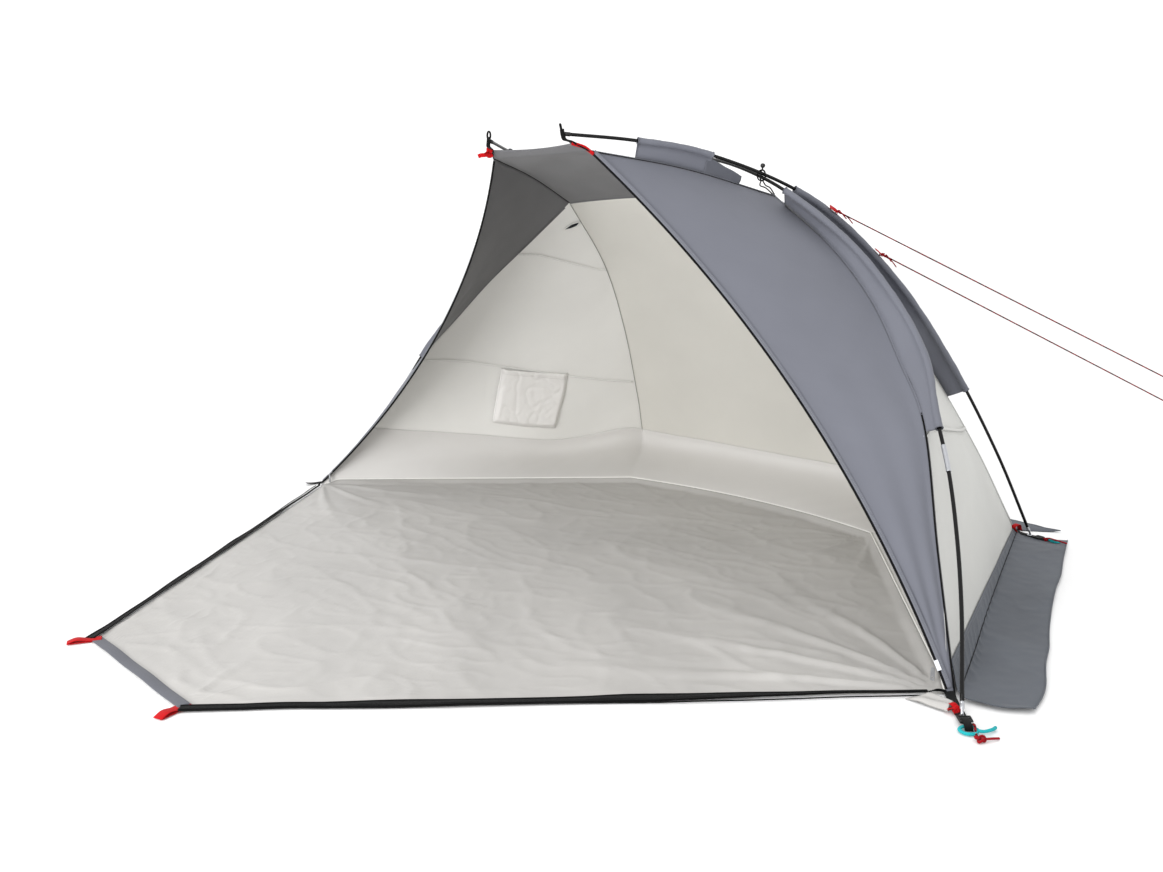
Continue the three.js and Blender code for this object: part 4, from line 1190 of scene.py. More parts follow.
# The door's hem: a dark grey band, partly the real hem and partly a painted shadow along the door's front
# edge.
make("door_hem", ribbon(hem_points, (0, 1, 0), 0.028, 0.003), HEM_AND_SHADE, "grey_fabric", body="door")


# ---------------------------------------------------------------- pole sleeves
SLEEVE_RADIUS = 0.0094
SLEEVE_BORE = 0.0082


def add_sleeve(name, pole, seam, start, end, seed):
    """A fabric tunnel round the pole, gathered a little, with a double fin sewn to the seam below."""
    count = max(24, int((end - start) * curve_length(pole) / 0.008))
    centre = even(pole, count, start, end)
    way = tangents(centre)
    line = seam(np.linspace(0, 1, 400))
    near = line[np.linalg.norm(line[None] - centre[:, None], axis=-1).argmin(1)]
    for _ in range(6):
        near[1:-1] = (near[:-2] + 2 * near[1:-1] + near[2:]) / 4
    down = near - centre
    down -= way * (down * way).sum(-1, keepdims=True)
    reach = norm(down)[:, 0]
    down = down / reach[:, None]
    across = np.cross(way, down)
    gather = 0.0011 * wobble(centre, 24, seed) + 0.0006 * wobble(centre, 70, seed + 1)
    turns = np.linspace(0.1 * math.pi, 1.9 * math.pi, 19)
    rings = []
    for k in range(count):
        r = SLEEVE_RADIUS + gather[k]
        tunnel = [(r * math.cos(a), r * math.sin(a)) for a in turns]
        wave = 0.0022 * math.sin(k * 0.21 + seed)
        sewn, *fin = (reach[k] - 0.001, 0.0009), (reach[k] * 0.66, 0.0013), (reach[k] * 0.4, 0.0016)
        outline = [(sewn[0], -sewn[1]), *((a, wave - b) for a, b in fin), *tunnel[::-1],
                   *((a, wave + b) for a, b in fin[::-1]), sewn]
        rings.append([centre[k] + down[k] * a + across[k] * b for a, b in outline])
    rings = np.array(rings)
    n = rings.shape[1]
    inner = centre[:, None] + (down[:, None] * np.cos(turns)[None, :, None]
                               + across[:, None] * np.sin(turns)[None, :, None]) * SLEEVE_BORE
    faces = [tuple(f) for f in grid_faces(count - 1, n - 1)]
    faces += [(i * n + n - 1, (i + 1) * n + n - 1, (i + 1) * n, i * n) for i in range(count - 1)]
    m, base = inner.shape[1], count * n
    faces += [tuple(f[::-1]) for f in grid_faces(count - 1, m - 1, base)]
    faces += [(base + i * m + m - 1, base + i * m, base + (i + 1) * m, base + (i + 1) * m + m - 1)
              for i in range(count - 1)]
    vertices = np.vstack([rings.reshape(-1, 3), inner.reshape(-1, 3)])
    girths = np.arange(n) * 0.004, np.arange(m) * 0.003
    uv = np.vstack([pairs(run_along(centre), girth) for girth in girths])
    caps = []
    for row, flip in ((0, False), (count - 1, True)):
        outer = [row * n + 3 + j for j in range(len(turns))][::-1]
        hole = [base + row * m + j for j in range(m)]
        for j in range(m - 1):
            face = (outer[j], outer[j + 1], hole[j + 1], hole[j])
            caps.append(face[::-1] if flip else face)
        lip = (row * n + 0, row * n + 1, row * n + 2, outer[-1], hole[-1], hole[0], outer[0],
               row * n + n - 3, row * n + n - 2, row * n + n - 1)
        caps.append(lip if flip else lip[::-1])
    make(name + "_cloth", (vertices, faces + caps, uv), GREY, "grey_fabric", replaces=[name])


for hand, side in SIDES.items():
    pole = SIDE_POLES[hand]
    for part, seam, ends in (("front", FRONT[hand], FRONT_SLEEVE_Y), ("rear", REAR[hand], REAR_SLEEVE_Y)):
        shares = sorted(share_where(pole, 1, y) for y in ends)
        add_sleeve(f"{part}_sleeve_{hand}", pole, seam, *shares, seed=3 + side + len(part))
    shares = sorted(share_where(HOOP_POLE, 0, side * x) for x in HOOP_SLEEVE_X)
    add_sleeve(f"hoop_sleeve_{hand}", HOOP_POLE, HOOPS[hand], *shares, seed=9 + side)


# ---------------------------------------------------------------- mud bands and sand flaps
BAND_TOP = 0.962  # the share of the wall's height where the grey band starts
SIDE_FLAP_INNER = [(1.412, -0.036), (1.328, 0.172), (1.24, 0.346), (1.066, 0.778), (0.908, 1.199),
                   (0.874, 1.3)]
SIDE_FLAP_OUTER = [(1.516, 0.046), (1.49, 0.135), (1.41, 0.332), (1.318, 0.531), (1.226, 0.767),
                   (1.08, 1.149), (0.99, 1.383)]
LEFT_FLAP_INNER = [(1.352, 0.13), *SIDE_FLAP_INNER[2:]]
LEFT_FLAP_OUTER = [(1.4, 0.15), (1.372, 0.25), (1.325, 0.43), (1.262, 0.65), *SIDE_FLAP_OUTER[4:]]
REAR_FLAP_INNER = [(-0.826, 1.382), (-0.3, 1.386), (0.3, 1.384), (0.826, 1.382)]
REAR_FLAP_OUTER = [(-0.93, 1.462), (-0.5, 1.474), (0.1, 1.466), (0.6, 1.474), (0.93, 1.46)]


REAR_FOOT = PEGS["rear_right"][:2] + (0.04, 0.03)
LEAST_HEIGHT = 0.0014  # of the flap's cloth over the ground


def flat_curve(points, side=1):
    return catmull([(side * x, y, 0.004) for x, y in points])


def add_sand_flap(part, surface, inner, outer, seed, columns=210, start=0.0):
    """A grey band sewn over the foot of a wall, and the flap that lies on the ground beyond it."""
    node = f"sand_flap_{part}"
    name = node + "_cloth"
    rows = 44
    u, w = uv_grid(columns, rows)
    share = np.linspace(0, 1, columns + 1)
    t = start + (1 - start) * share
    n = surface_normals(surface, t, 0.97)
    stations = np.array([0, 0.1, 0.22, 0.29, 0.64, 1.0])
    near, far = inner(share), outer(share)
    knee = surface(t, 0.996) + n * 0.006
    key = np.array([surface(t, BAND_TOP) + n * 0.0034, surface(t, 0.98) + n * 0.0045, knee,
                    (knee + near) / 2 * (1, 1, 0) + (0, 0, 0.006), (near + far) / 2, far])
    points = np.array([[np.interp(w[i], stations, key[:, i, k]) for k in range(3)]
                       for i in range(columns + 1)]).transpose(0, 2, 1)
    for _ in range(3):
        points[:, 1:-1] = (points[:, :-2] + 2 * points[:, 1:-1] + points[:, 2:]) / 4
    up = grid_normals(points)
    if up[..., 2].sum() < 0:
        up = -up
    run = share[:, None] * norm(np.diff(inner(np.linspace(0, 1, 50)), axis=0)).sum()
    tucks = (np.maximum(np.sin(run * 95 + 2.2 * np.sin(run * 17 + seed)), 0)
             * smooth(w / 0.1) * (1 - smooth((w - 0.24) / 0.14)))
    level = (1, 1, 0)
    folds = (0.002 * creased(points, 3.2, seed, 4, (1, 0.7, 0))
             + 0.0008 * creased(points, 11, seed + 1, 5, level))
    waves = 0.003 * (1 + wobble(points, 4, seed + 2, level)) + 0.0008 * wobble(points, 30, seed + 5, level)
    lie = smooth((w - 0.22) / 0.12)
    relief = 0.0016 * tucks + (folds + waves) * lie
    ends = (np.maximum(smooth((u - 0.955) / 0.045), smooth((0.035 - u) / 0.035) * 0.6)
            * smooth((w - 0.45) / 0.4))
    points += up * relief[..., None]
    points[..., 2] += 0.009 * ends * (1 + 0.5 * wobble(points, 24, seed + 3))
    points[..., :2] += (0.006 * wobble(points, 5, seed + 4) * lie * smooth((w - 0.5) / 0.5))[..., None]
    for mirror in SIDES.values():  # it lies flat under the straps of the rear feet
        foot = REAR_FOOT * (mirror, 1)
        near_foot = 1 - smooth((norm(points[..., :2] - foot)[..., 0] - 0.06) / 0.07)
        points[..., 2] -= (points[..., 2] - 0.0016) * near_foot * lie
    points[..., 2] = np.maximum(points[..., 2], LEAST_HEIGHT)
    layered(name, points, [FLAP], "flap_fabric", FLAP_THICK, outward=up, replaces=[node])
    row = int(0.25 * rows)
    make(name + "_seam", tube(points[2:-2, row] + up[2:-2, row] * 0.0008, 0.0012), PIPING, "black_webbing")
    make(name + "_top_stitch", stitches(points[2:-2, 2] + up[2:-2, 2] * 0.0012, up[2:-2, 2]), THREAD,
         "grey_fabric")
    make(name + "_hem", tube(points[:, -1], 0.0019), FLAP, "flap_fabric")


STITCH = {"pitch": 0.0045, "long": 0.003, "wide": 0.0007}


def stitches(points, up):
    """A row of short raised stitches along a path."""
    count = max(int(norm(np.diff(points, axis=0)).sum() / STITCH["pitch"]), 2)
    at = np.linspace(0, len(points) - 1, count)
    centre, lift = at_shares(points, at), unit(at_shares(up, at))
    way = unit(np.gradient(centre, axis=0))
    side = np.cross(way, lift)
    shape = [(-1, 0, 0), (-0.5, -1, 0), (-0.5, 1, 0), (0.5, -1, 0), (0.5, 1, 0), (1, 0, 0), (-0.4, 0, 1),
             (0.4, 0, 1)]
    long, wide = STITCH["long"], STITCH["wide"]
    block = np.stack([centre + way * (a * long / 2) + side * (b * wide / 2) + lift * (c * wide * 0.7)
                      for a, b, c in shape], 1)
    faces = [(0, 1, 6), (0, 6, 2), (1, 3, 7, 6), (2, 6, 7, 4), (3, 5, 7), (4, 7, 5), (0, 2, 4, 5, 3, 1)]
    return block.reshape(-1, 3), repeated(faces, 8, count), np.zeros((8 * count, 2))


add_sand_flap("right", SIDE_WALL["right"], flat_curve(SIDE_FLAP_INNER), flat_curve(SIDE_FLAP_OUTER), 52)
add_sand_flap("left", SIDE_WALL["left"], flat_curve(LEFT_FLAP_INNER, -1), flat_curve(LEFT_FLAP_OUTER, -1), 50,
              start=0.085)
add_sand_flap("rear", REAR_WALL, flat_curve(REAR_FLAP_INNER), flat_curve(REAR_FLAP_OUTER), 57, 240)


# ---------------------------------------------------------------- pocket, vents and wall seams
POCKET_CORNERS = [(-0.966, 0.609, 0.448), (-0.853, 0.864, 0.42), (-0.957, 0.884, 0.176),
                  (-1.048, 0.62, 0.222)]


def wall_line(hand, points, count, inside, lift):
    """A path over one side wall, on its inner or outer face."""
    path, across, normals = surface_line(SIDE_WALL[hand], points, count, lift * (-1 if inside else 1))
    return path, across, -normals if inside else normals


def add_pocket():
    """The patch pocket on the left wall's inner face: it stands off the wall, and its mouth sags."""
    columns, rows = 56, 46
    u, v = uv_grid(columns, rows)
    corner_uv = on_surface(SIDE_WALL["left"], POCKET_CORNERS)
    tl, tr, br, bl = corner_uv
    a, b = u[..., None], v[..., None]
    place = (1 - b) * ((1 - a) * tl + a * tr) + b * ((1 - a) * bl + a * br)
    normals = surface_normals(SIDE_WALL["left"], place[..., 0], place[..., 1])
    wall = SIDE_WALL["left"](place[..., 0], place[..., 1])
    side_edge = smooth(np.minimum(u, 1 - u) / 0.07)
    foot_edge = smooth((1 - v) / 0.09)
    stand = 0.005 + (0.009 + 0.008 * v + 0.0015 * np.sin(7 * u) * (1 - v)) * side_edge * foot_edge
    points = wall - normals * stand[..., None]
    points[..., 2] -= 0.006 * smooth(v) * 4 * u * (1 - u)
    points += normals * (0.003 * creased(points, 17, 61, 5) + 0.0014 * wobble(points, 55, 62))[..., None]
    pocket = layered("wall_pocket_cloth", points, [POCKET_CLOTH], "beige_fabric", FLAP_THICK,
                     outward=-normals, replaces=["wall_pocket"])
    inward = -normals
    hem = ribbon(points[1:-1, 2] + inward[1:-1, 2] * 0.0012, points[1:-1, 3] - points[1:-1, 1], 0.016, 0.0016)
    make("wall_pocket_hem", hem, POCKET_CLOTH, "beige_fabric")
    rim, rim_up = (np.vstack([grid[1, :], grid[2:-2, -2], grid[-2, ::-1]]) for grid in (points, inward))
    under_hem, under_up = points[2:-2, 5], inward[2:-2, 5]
    make("wall_pocket_stitching", [stitches(rim + rim_up * 0.0008, rim_up),
                                   stitches(under_hem + under_up * 0.0008, under_up)], THREAD, "beige_fabric")


add_pocket()

WALL_SEAM = [(1.09, 0.29, 0.5), (1.053, 0.378, 0.492), (0.865, 0.85, 0.41), (0.745, 1.126, 0.37)]
UPPER_SEAM = [(0.7, 0.485, 0.9), (0.66, 0.554, 0.899), (0.577, 0.781, 0.842), (0.56, 0.8, 0.838)]
VENT_SLIT = [(0.533, 0.56, 0.985), (0.507, 0.578, 1.004), (0.485, 0.583, 1.018)]
HOOD_REACH = 0.36  # the share of the wall's height that the vent's hood covers
WALL_TAPE_WIDTH = 0.009
WALL_TAPE_LIFT = 0.0045


def add_wall_details(hand, side):
    """A side wall's taped seams, the vent's slit and mesh, and the hood over it outside."""
    parts, threads = [], []
    for line in (WALL_SEAM, UPPER_SEAM):
        path, across, up = wall_line(hand, mirrored(line, side), 90, True, WALL_TAPE_LIFT)
        parts.append(ribbon(path, across, WALL_TAPE_WIDTH, 0.0016))
        threads += [stitches(path + across * k + up * 0.0009, up) for k in (-0.003, 0.003)]
    make(f"wall_seams_inside_{hand}", parts, SIDE_INNER_PAINTED_LIGHT, "beige_fabric")
    make(f"wall_seam_stitching_{hand}", threads, THREAD, "beige_fabric")
    path, across, up = wall_line(hand, mirrored(WALL_SEAM, side), 90, False, WALL_TAPE_LIFT)
    make(f"wall_seam_outside_{hand}", ribbon(path, across, WALL_TAPE_WIDTH, 0.0014), BEIGE, "beige_fabric")
    path, across, up = wall_line(hand, mirrored(VENT_SLIT, side), 30, True, 0.004)
    swell = np.sin(np.linspace(0.02, math.pi - 0.02, 30))[:, None]
    slit = np.stack([path + across * swell * k for k in np.linspace(-0.009, 0.009, 9)], 1)
    slit += up[:, None] * 0.0012
    layered(f"vent_mesh_{hand}", slit, [MESH_DARK], "grey_fabric", COATED_THICK,
            outward=np.broadcast_to(up[:, None], slit.shape))
    lips = [tube(path + across * swell * k + up * 0.002, 0.0016) for k in (-0.0095, 0.0095)]
    make(f"vent_binding_{hand}", lips, SIDE_INNER_PAINTED_LIGHT, "beige_fabric")
    u, v = uv_grid(54, 44)
    drop = HOOD_REACH * (1 - 0.12 * np.sin(math.pi * u))
    flat_u, flat_v = 0.012 + 0.976 * u, 0.02 + v * (drop - 0.02)
    normals = surface_normals(SIDE_WALL[hand], flat_u, flat_v)
    stand = (0.0045 + 0.012 * np.sin(math.pi * u) * smooth(v / 0.7)
             + 0.002 * wobble(normals * 0.3 + v[..., None], 9, 71))
    hood = SIDE_WALL[hand](flat_u, flat_v) + normals * stand[..., None]
    layered(f"vent_hood_{hand}", hood, [GREY, GREY_INNER], "grey_fabric", outward=normals)
    edge, edge_up = hood[:, -1], normals[:, -1]
    make(f"vent_hood_hem_{hand}", tube(edge, 0.0017), HEM_AND_SHADE, "grey_fabric")
    make(f"vent_hood_stitching_{hand}", stitches(hood[:, -3] + edge_up * 0.0008, edge_up), THREAD,
         "grey_fabric")


for hand, side in SIDES.items():
    add_wall_details(hand, side)


# ---------------------------------------------------------------- stitching along the seams
def seam_stitching(name, curve, surface, edge, count):
    """Two rows of stitches along a seam."""
    points, n, across = seam_line(curve, surface, edge, count, 0.02, 0.96)
    make(name, [stitches(points + n * 0.0024 + across * k, n) for k in (-0.0035, 0.0035)], THREAD,
         "grey_fabric")


for hand in SIDES:
    seam_stitching(f"front_seam_stitching_{hand}", FRONT[hand], ROOF, ROOF_EDGE[hand], 60)
    seam_stitching(f"rear_seam_stitching_{hand}", REAR[hand], SIDE_WALL[hand], 1.0, 150)
    edge, across, up = ARC[hand].tape(-0.97, 0.97, 150)
    rows = [stitches(edge + across * k + up * s * 0.0009, up * s) for k in (0.0065, 0.0105) for s in (-1, 1)]
    make(f"opening_zip_stitching_{hand}", rows, THREAD, "grey_fabric")


# ---------------------------------------------------------------- sleeve ends and gussets
def add_sleeve_end(name, pole, axis, value):
    """The binding round a sleeve's mouth, where one coordinate of the pole reaches a value."""
    share = share_where(pole, axis, value)
    centre = even(pole, 5, share - 0.0012, share + 0.0012)
    across, up = frames(centre)
    loop = centre[2] + circle(across[2], up[2], 32) * 0.0095
    make(name, tube(loop, 0.0013, closed=True), HEM_AND_SHADE, "grey_fabric")


def add_gusset(hand):
    """The strip of cloth that goes on from the front sleeve, under the bare pole, coloured dark grey as
    painted shade.
    """
    pole, seam = SIDE_POLES[hand], FRONT[hand]
    columns, rows = 24, 10
    y = np.linspace(0.303, 0.405, columns + 1)
    upper = np.array([point_where(pole, 1, value) for value in y])
    line = seam(np.linspace(0, 1, 600))
    lower = np.array([line[np.abs(line[:, 1] - value).argmin()] for value in y])
    taper = np.linspace(1, 0.55, columns + 1)[:, None]
    top = lower + (upper - (0, 0, 0.0075) - lower) * taper
    v = np.linspace(0, 1, rows + 1)[None, :, None]
    points = lower[:, None] * (1 - v) + top[:, None] * v
    points[..., 0] += 0.0016 * np.sin(v[..., 0] * 5 + np.arange(columns + 1)[:, None] * 0.5)
    layered(f"front_gusset_{hand}", points, [HEM_AND_SHADE], "grey_fabric", outward=np.array([SIDES[hand], 0, 0.0]))


for hand, side in SIDES.items():
    for k, y in enumerate((*FRONT_SLEEVE_Y, *REAR_SLEEVE_Y), 1):
        add_sleeve_end(f"side_sleeve_binding_{hand}_{k}", SIDE_POLES[hand], 1, y)
    for k, x in enumerate(HOOP_SLEEVE_X, 1):
        add_sleeve_end(f"hoop_sleeve_binding_{hand}_{k}", HOOP_POLE, 0, side * x)
    add_gusset(hand)


# ---------------------------------------------------------------- straps and cords
def cord(points, radius, count):
    """A round cord along a smooth route, with its ends drawn in."""
    radii = np.full(count, radius)
    radii[[0, -1]] *= 0.4
    return tube(even(catmull(points), count), radii)


def strap(points, width, thickness, count=30, across=None):
    """A flat band along a smooth route, lying level unless its width direction is given."""
    path = even(catmull(points), count)
    if across is None:
        across = np.cross(tangents(path), (0, 0, 1.0))
    return ribbon(path, across, width, thickness)


GROMMET = {"inner": 0.0036, "outer": 0.0078, "high": 0.0016}
BUCKLE_WIDTH, BUCKLE_LENGTH = 0.026, 0.024


def grommet(eyelet):
    """A plated ring pressed round an eyelet, flat on the webbing."""
    inner, outer, high = GROMMET.values()
    profile = [(-high, inner), (-high, outer), (-high * 0.3, outer + 0.0006), (high * 0.6, outer),
               (high, inner + 0.0022), (high * 0.9, inner + 0.0006), (0, inner)]
    sides = 28
    vertices = turned_rings(eyelet + (0, 0, 0.0012), (0, 0, 1), profile, (0.3, 1.0, 0.2), sides)
    return vertices, ring_faces(len(profile), sides, True), np.zeros((len(vertices), 2))


def ladder_buckle(centre, way):
    """A moulded three-bar slider, lying flat."""
    way = unit(np.array([*way[:2], 0.0]))
    side = np.cross(way, (0, 0, 1.0))

    def bar(x, y):
        return centre + side * x * (BUCKLE_WIDTH / 2) + way * y * (BUCKLE_LENGTH / 2)

    corners = [(-1, -1), (1, -1), (1, 1), (-1, 1)]
    rim = [bar(a + (c - a) * t, b + (d - b) * t) for (a, b), (c, d) in zip(corners, corners[1:] + corners[:1])
           for t in np.linspace(0, 1, 8)[:-1]]
    return [tube(np.array(rim), 0.0019, closed=True),
            *(tube(np.array([bar(x, y) for x in np.linspace(-1, 1, 6)]), 0.0017) for y in (-0.3, 0.3))]


def add_front_foot(hand, side):
    """The strap from the corner to the pole's peg. On the right a red tab, a loop and a knotted cord too."""
    peg = PEGS[f"front_{hand}"]
    corner = np.array([1.366 if side > 0 else -1.374, -0.016, 0.0045])
    way = unit((peg - corner) * (1, 1, 0))
    eyelet = corner * (1, 1, 0) + way * np.linalg.norm((peg - corner)[:2]) + (0, 0, 0.0046)
    end = eyelet + way * 0.034
    outer = strap([corner - way * 0.03 + (0, 0, 0.004), corner, eyelet - way * 0.012, eyelet + way * 0.01,
                   end + (0, 0, 0.002)], 0.022, 0.002)
    hoop = strap([eyelet + way * 0.008 + (0, 0, 0.004), eyelet + way * 0.03 + (0, 0, 0.009),
                  end + way * 0.024 + (0, 0, 0.005), end + way * 0.03 - (0, 0, 0.001)], 0.017, 0.0018, 20)
    make(f"foot_strap_front_{hand}_webbing", [outer, hoop], BLACK_WEBBING, "black_webbing",
         replaces=[f"foot_strap_front_{hand}"])
    make(f"foot_grommet_front_{hand}", grommet(eyelet), STEEL, "steel")
    make(f"foot_buckle_front_{hand}", ladder_buckle(eyelet + way * 0.024 + (0, 0, 0.0075), way), RUBBER,
         "black_webbing")
    if side < 0:
        return
    red = [[(1.386, -0.062, 0.006), (1.389, -0.066, 0.017), (1.399, -0.072, 0.021), (1.41, -0.075, 0.013),
            (1.406, -0.082, 0.007)],
           [(1.392, -0.074, 0.005), (1.397, -0.08, 0.013), (1.408, -0.078, 0.017), (1.415, -0.068, 0.011)]]
    make("foot_tab_front_right", [strap(route, 0.012, 0.0016, 26, across=(0.55, 0.8, 0.2)) for route in red],
         RED_WEBBING, "red_webbing")
    turquoise = [[(1.468, -0.104, 0.004), (1.452, -0.124, 0.006), (1.452, -0.142, 0.006),
                  (1.47, -0.148, 0.005), (1.484, -0.135, 0.006), (1.474, -0.112, 0.005)],
                 [(1.476, -0.122, 0.007), (1.492, -0.122, 0.009), (1.5, -0.1, 0.009), (1.497, -0.08, 0.006)]]
    make("foot_loop_front_right", [cord(route, 0.0036, 44) for route in turquoise], TURQUOISE, "rope")
    checked = [(1.458, -0.098, 0.005), (1.472, -0.118, 0.0125), (1.486, -0.138, 0.006), (1.498, -0.15, 0.005)]
    path = even(catmull(checked), 60)
    lay = twisted(path, 0.0024, 0.012)
    vertices, faces, uv = combined(*lay)
    red_count = sum(len(part[1]) for part in lay[:2])
    piece("foot_cord_front_right", vertices, faces, [RED_CORD, BLACK_CORD], "rope", uv=uv,
          picks=[0] * red_count + [1] * (len(faces) - red_count))
    tail = cord([(1.5, -0.152, 0.006), (1.511, -0.146, 0.008), (1.519, -0.128, 0.006),
                 (1.524, -0.116, 0.004)], 0.0026, 24)
    make("foot_knot_front_right", [knot(np.array([1.503, -0.153, 0.0075]), 0.0105, 0.0027, 0.6), tail],
         RED_CORD, "rope")


def add_rear_foot(hand, side):
    """The strap from the corner to the pole's peg, with its red tab, cord and loop."""
    peg = PEGS[f"rear_{hand}"]
    corner = np.array([side * 0.838, 1.352, 0.0045])
    way = unit((peg - corner) * (1, 1, 0))
    eyelet = corner + way * np.linalg.norm((peg - corner)[:2])
    end = eyelet + way * 0.06
    band = strap([corner - way * 0.02 + (0, 0, 0.006), corner, eyelet - way * 0.01, eyelet + way * 0.02, end],
                 0.022, 0.002)
    make(f"foot_strap_rear_{hand}_webbing", band, BLACK_WEBBING, "black_webbing",
         replaces=[f"foot_strap_rear_{hand}"])
    make(f"foot_grommet_rear_{hand}", grommet(eyelet), STEEL, "steel")
    make(f"foot_buckle_rear_{hand}", ladder_buckle(eyelet + way * 0.034 + (0, 0, 0.003), way), RUBBER,
         "black_webbing")
    hole = (eyelet + way * 0.052) * (1, 1, 0) + (0, 0, 0.006)
    out = np.array([way[1], -way[0], 0])
    red_tail = [hole, hole + way * 0.02 + (0, 0, 0.006), hole + way * 0.05 + out * 0.01 + (0, 0, 0.01),
                hole + way * 0.085 - out * 0.006 + (0, 0, 0.004)]
    red = strap([corner + out * 0.012 + (0, 0, 0.002), corner + out * 0.024 + (0, 0, 0.02),
                 corner + (0, 0, 0.026), corner - out * 0.008 + (0, 0, 0.006)], 0.018, 0.0016, 24, across=way)
    make(f"foot_tab_rear_{hand}", red, RED_WEBBING, "red_webbing")
    make(f"foot_cord_rear_{hand}", [cord(red_tail, 0.0026, 36),
                                    knot(hole + way * 0.012, 0.0085, 0.0024, 0.4)], RED_CORD, "rope")
    loop = [hole + way * 0.018, hole + way * 0.03 - out * 0.016, hole + way * 0.052 - out * 0.014,
            hole + way * 0.05 + out * 0.002, hole + way * 0.03 + out * 0.004]
    make(f"foot_loop_rear_{hand}", cord(loop, 0.003, 36), TURQUOISE, "rope")


for hand, side in SIDES.items():
    add_front_foot(hand, side)
    add_rear_foot(hand, side)


# ---------------------------------------------------------------- pole tips
VISOR_CORNER = (0.182, -0.026, 1.214)  # the canopy's front corner, drawn up towards the pole's tip


def add_tip(hand, side):
    """The elastic strap that holds a pole's tip over the canopy's corner, and the red tab sewn in with it."""
    x, y, z = SIDE_POLE_TIP
    path = mirrored([(x - 0.003, y - 0.009, z + 0.012), (x, y - 0.0085, z - 0.003),
                     (x + 0.004, y - 0.006, z - 0.014), (x + 0.012, y + 0.008, z - 0.02),
                     (x + 0.022, y + 0.02, z - 0.028)], side)
    parts = [strap(path, 0.014, 0.0022, 40, across=(1.0, 0.25, 0))]
    tip = path[0]
    if side < 0:
        ring = tip + (0, 0, 0.004) + circle(np.array([0.0075, 0, 0]), np.array([0, 0, 0.011]), 39)
        parts.append(tube(ring, 0.0028, closed=True))
        lobe = [(-0.176, -0.03, 1.212), (-0.18, -0.042, 1.217), (-0.188, -0.044, 1.209),
                (-0.187, -0.034, 1.2), (-0.181, -0.026, 1.204)]
        tail = [(-0.184, -0.032, 1.206), (-0.194, -0.044, 1.202), (-0.203, -0.052, 1.201),
                (-0.209, -0.058, 1.198)]
        make("corner_tab_left", [strap(lobe, 0.014, 0.0018, 30, across=(0.35, 0.3, 0.9)),
                                 strap(tail, 0.012, 0.0018, 20, across=(0.25, 0.3, 0.9))], RED_WEBBING,
             "red_webbing")
    else:
        route = [tip - (0, 0, 0.008), tip + (-0.004, 0, 0.004), tip + (-0.008, 0, 0.016)]
        parts.append(cord(route, 0.0036, 12))
        ribbon_path = [(0.178, -0.034, 1.2145), (0.187, -0.022, 1.2105), (0.2, -0.006, 1.2035),
                       (0.213, 0.002, 1.193), (0.222, 0.006, 1.185)]
        make("corner_tab_right", strap(ribbon_path, 0.011, 0.0018, 30, across=(0.5, -0.2, 0.85)), RED_WEBBING,
             "red_webbing")
    make(f"tip_strap_{hand}_elastic", parts, BLACK_WEBBING, "black_webbing", replaces=[f"tip_strap_{hand}"])


def add_visor():
    """The canopy's front edge beyond the roof panel: it is drawn up and forward to the straps."""
    u, v = uv_grid(60, 10)
    inner, outer = (straight(mirrored(p, -1), p)(u[:, 0]) for p in (ZIP_TOP, VISOR_CORNER))
    bow = 4 * u[:, 0] * (1 - u[:, 0])
    outer = outer + np.stack([0 * bow, 0.012 * bow, -0.006 * bow], -1)
    points = inner[:, None] * (1 - v[..., None]) + outer[:, None] * v[..., None]
    points[..., 2] += 0.0012 * wobble(points, 18, 91) * v
    layered("roof_front_band", points, [GREY, GREY_INNER], "grey_fabric", outward=np.array([0, 0, 1.0]))
    make("roof_front_hem", ribbon(outer + (0, 0.004, 0), (0, 1, -0.4), 0.012, 0.0024), GREY_INNER,
         "grey_fabric")
    for hand, side in SIDES.items():
        edge = straight(mirrored(ZIP_TOP, side), mirrored(VISOR_CORNER, side))(np.linspace(-0.12, 1, 24))
        make(f"roof_corner_piping_{hand}", tube(edge, 0.0021), PIPING, "black_webbing")


add_visor()
for hand, side in SIDES.items():
    add_tip(hand, side)


# ---------------------------------------------------------------- ties where the poles cross
def add_crossing_tie(hand, side):
    """Two loops of cord round both poles, two ends down to the canopy, and a toggle on top."""
    centre = mirrored(CROSSING, side) - (0, 0, POLE_RADIUS + 0.0005)
    high = np.array([0, 0, 0.0147])
    loops = []
    for shift, tilt in ((-0.0028, 0.25), (0.0028, -0.25)):
        loop = centre + (0, shift, 0) + circle(np.array([0.0122, tilt * 0.012, 0]), high, 40)
        loops.append(tube(loop, 0.0019, closed=True))
    top, down = centre + high, centre - high
    apex = mirrored(CROSSING_SEAM, side)
    for k in (-0.006, 0.006):
        loops.append(cord([down + (k * 0.3, 0, 0.002), down + (k * 1.6, 0.004, -0.012),
                           (down * 0.55 + apex * 0.45) + (k * 1.3, 0, 0), apex + (k * 0.4, -0.004, 0.004)],
                          0.0019, 26))
    loops.append(cord([top - (0, 0, 0.001), top + (0.001, 0, 0.005), top + (0.002, 0, 0.01)], 0.0022, 10))
    make(f"crossing_tie_{hand}_cord", loops, BLACK_CORD, "black_webbing", replaces=[f"crossing_tie_{hand}"])
    ball = [(0.0, 0.0022), (0.0008, 0.0042), (0.0028, 0.0061), (0.0062, 0.0072), (0.0096, 0.0064),
            (0.0118, 0.0044), (0.0126, 0.0016)]
    make(f"crossing_toggle_{hand}", lathe(top + (0.001, 0, 0.006), (0.15, 0, 1), ball), RUBBER,
         "black_webbing")


for hand, side in SIDES.items():
    add_crossing_tie(hand, side)


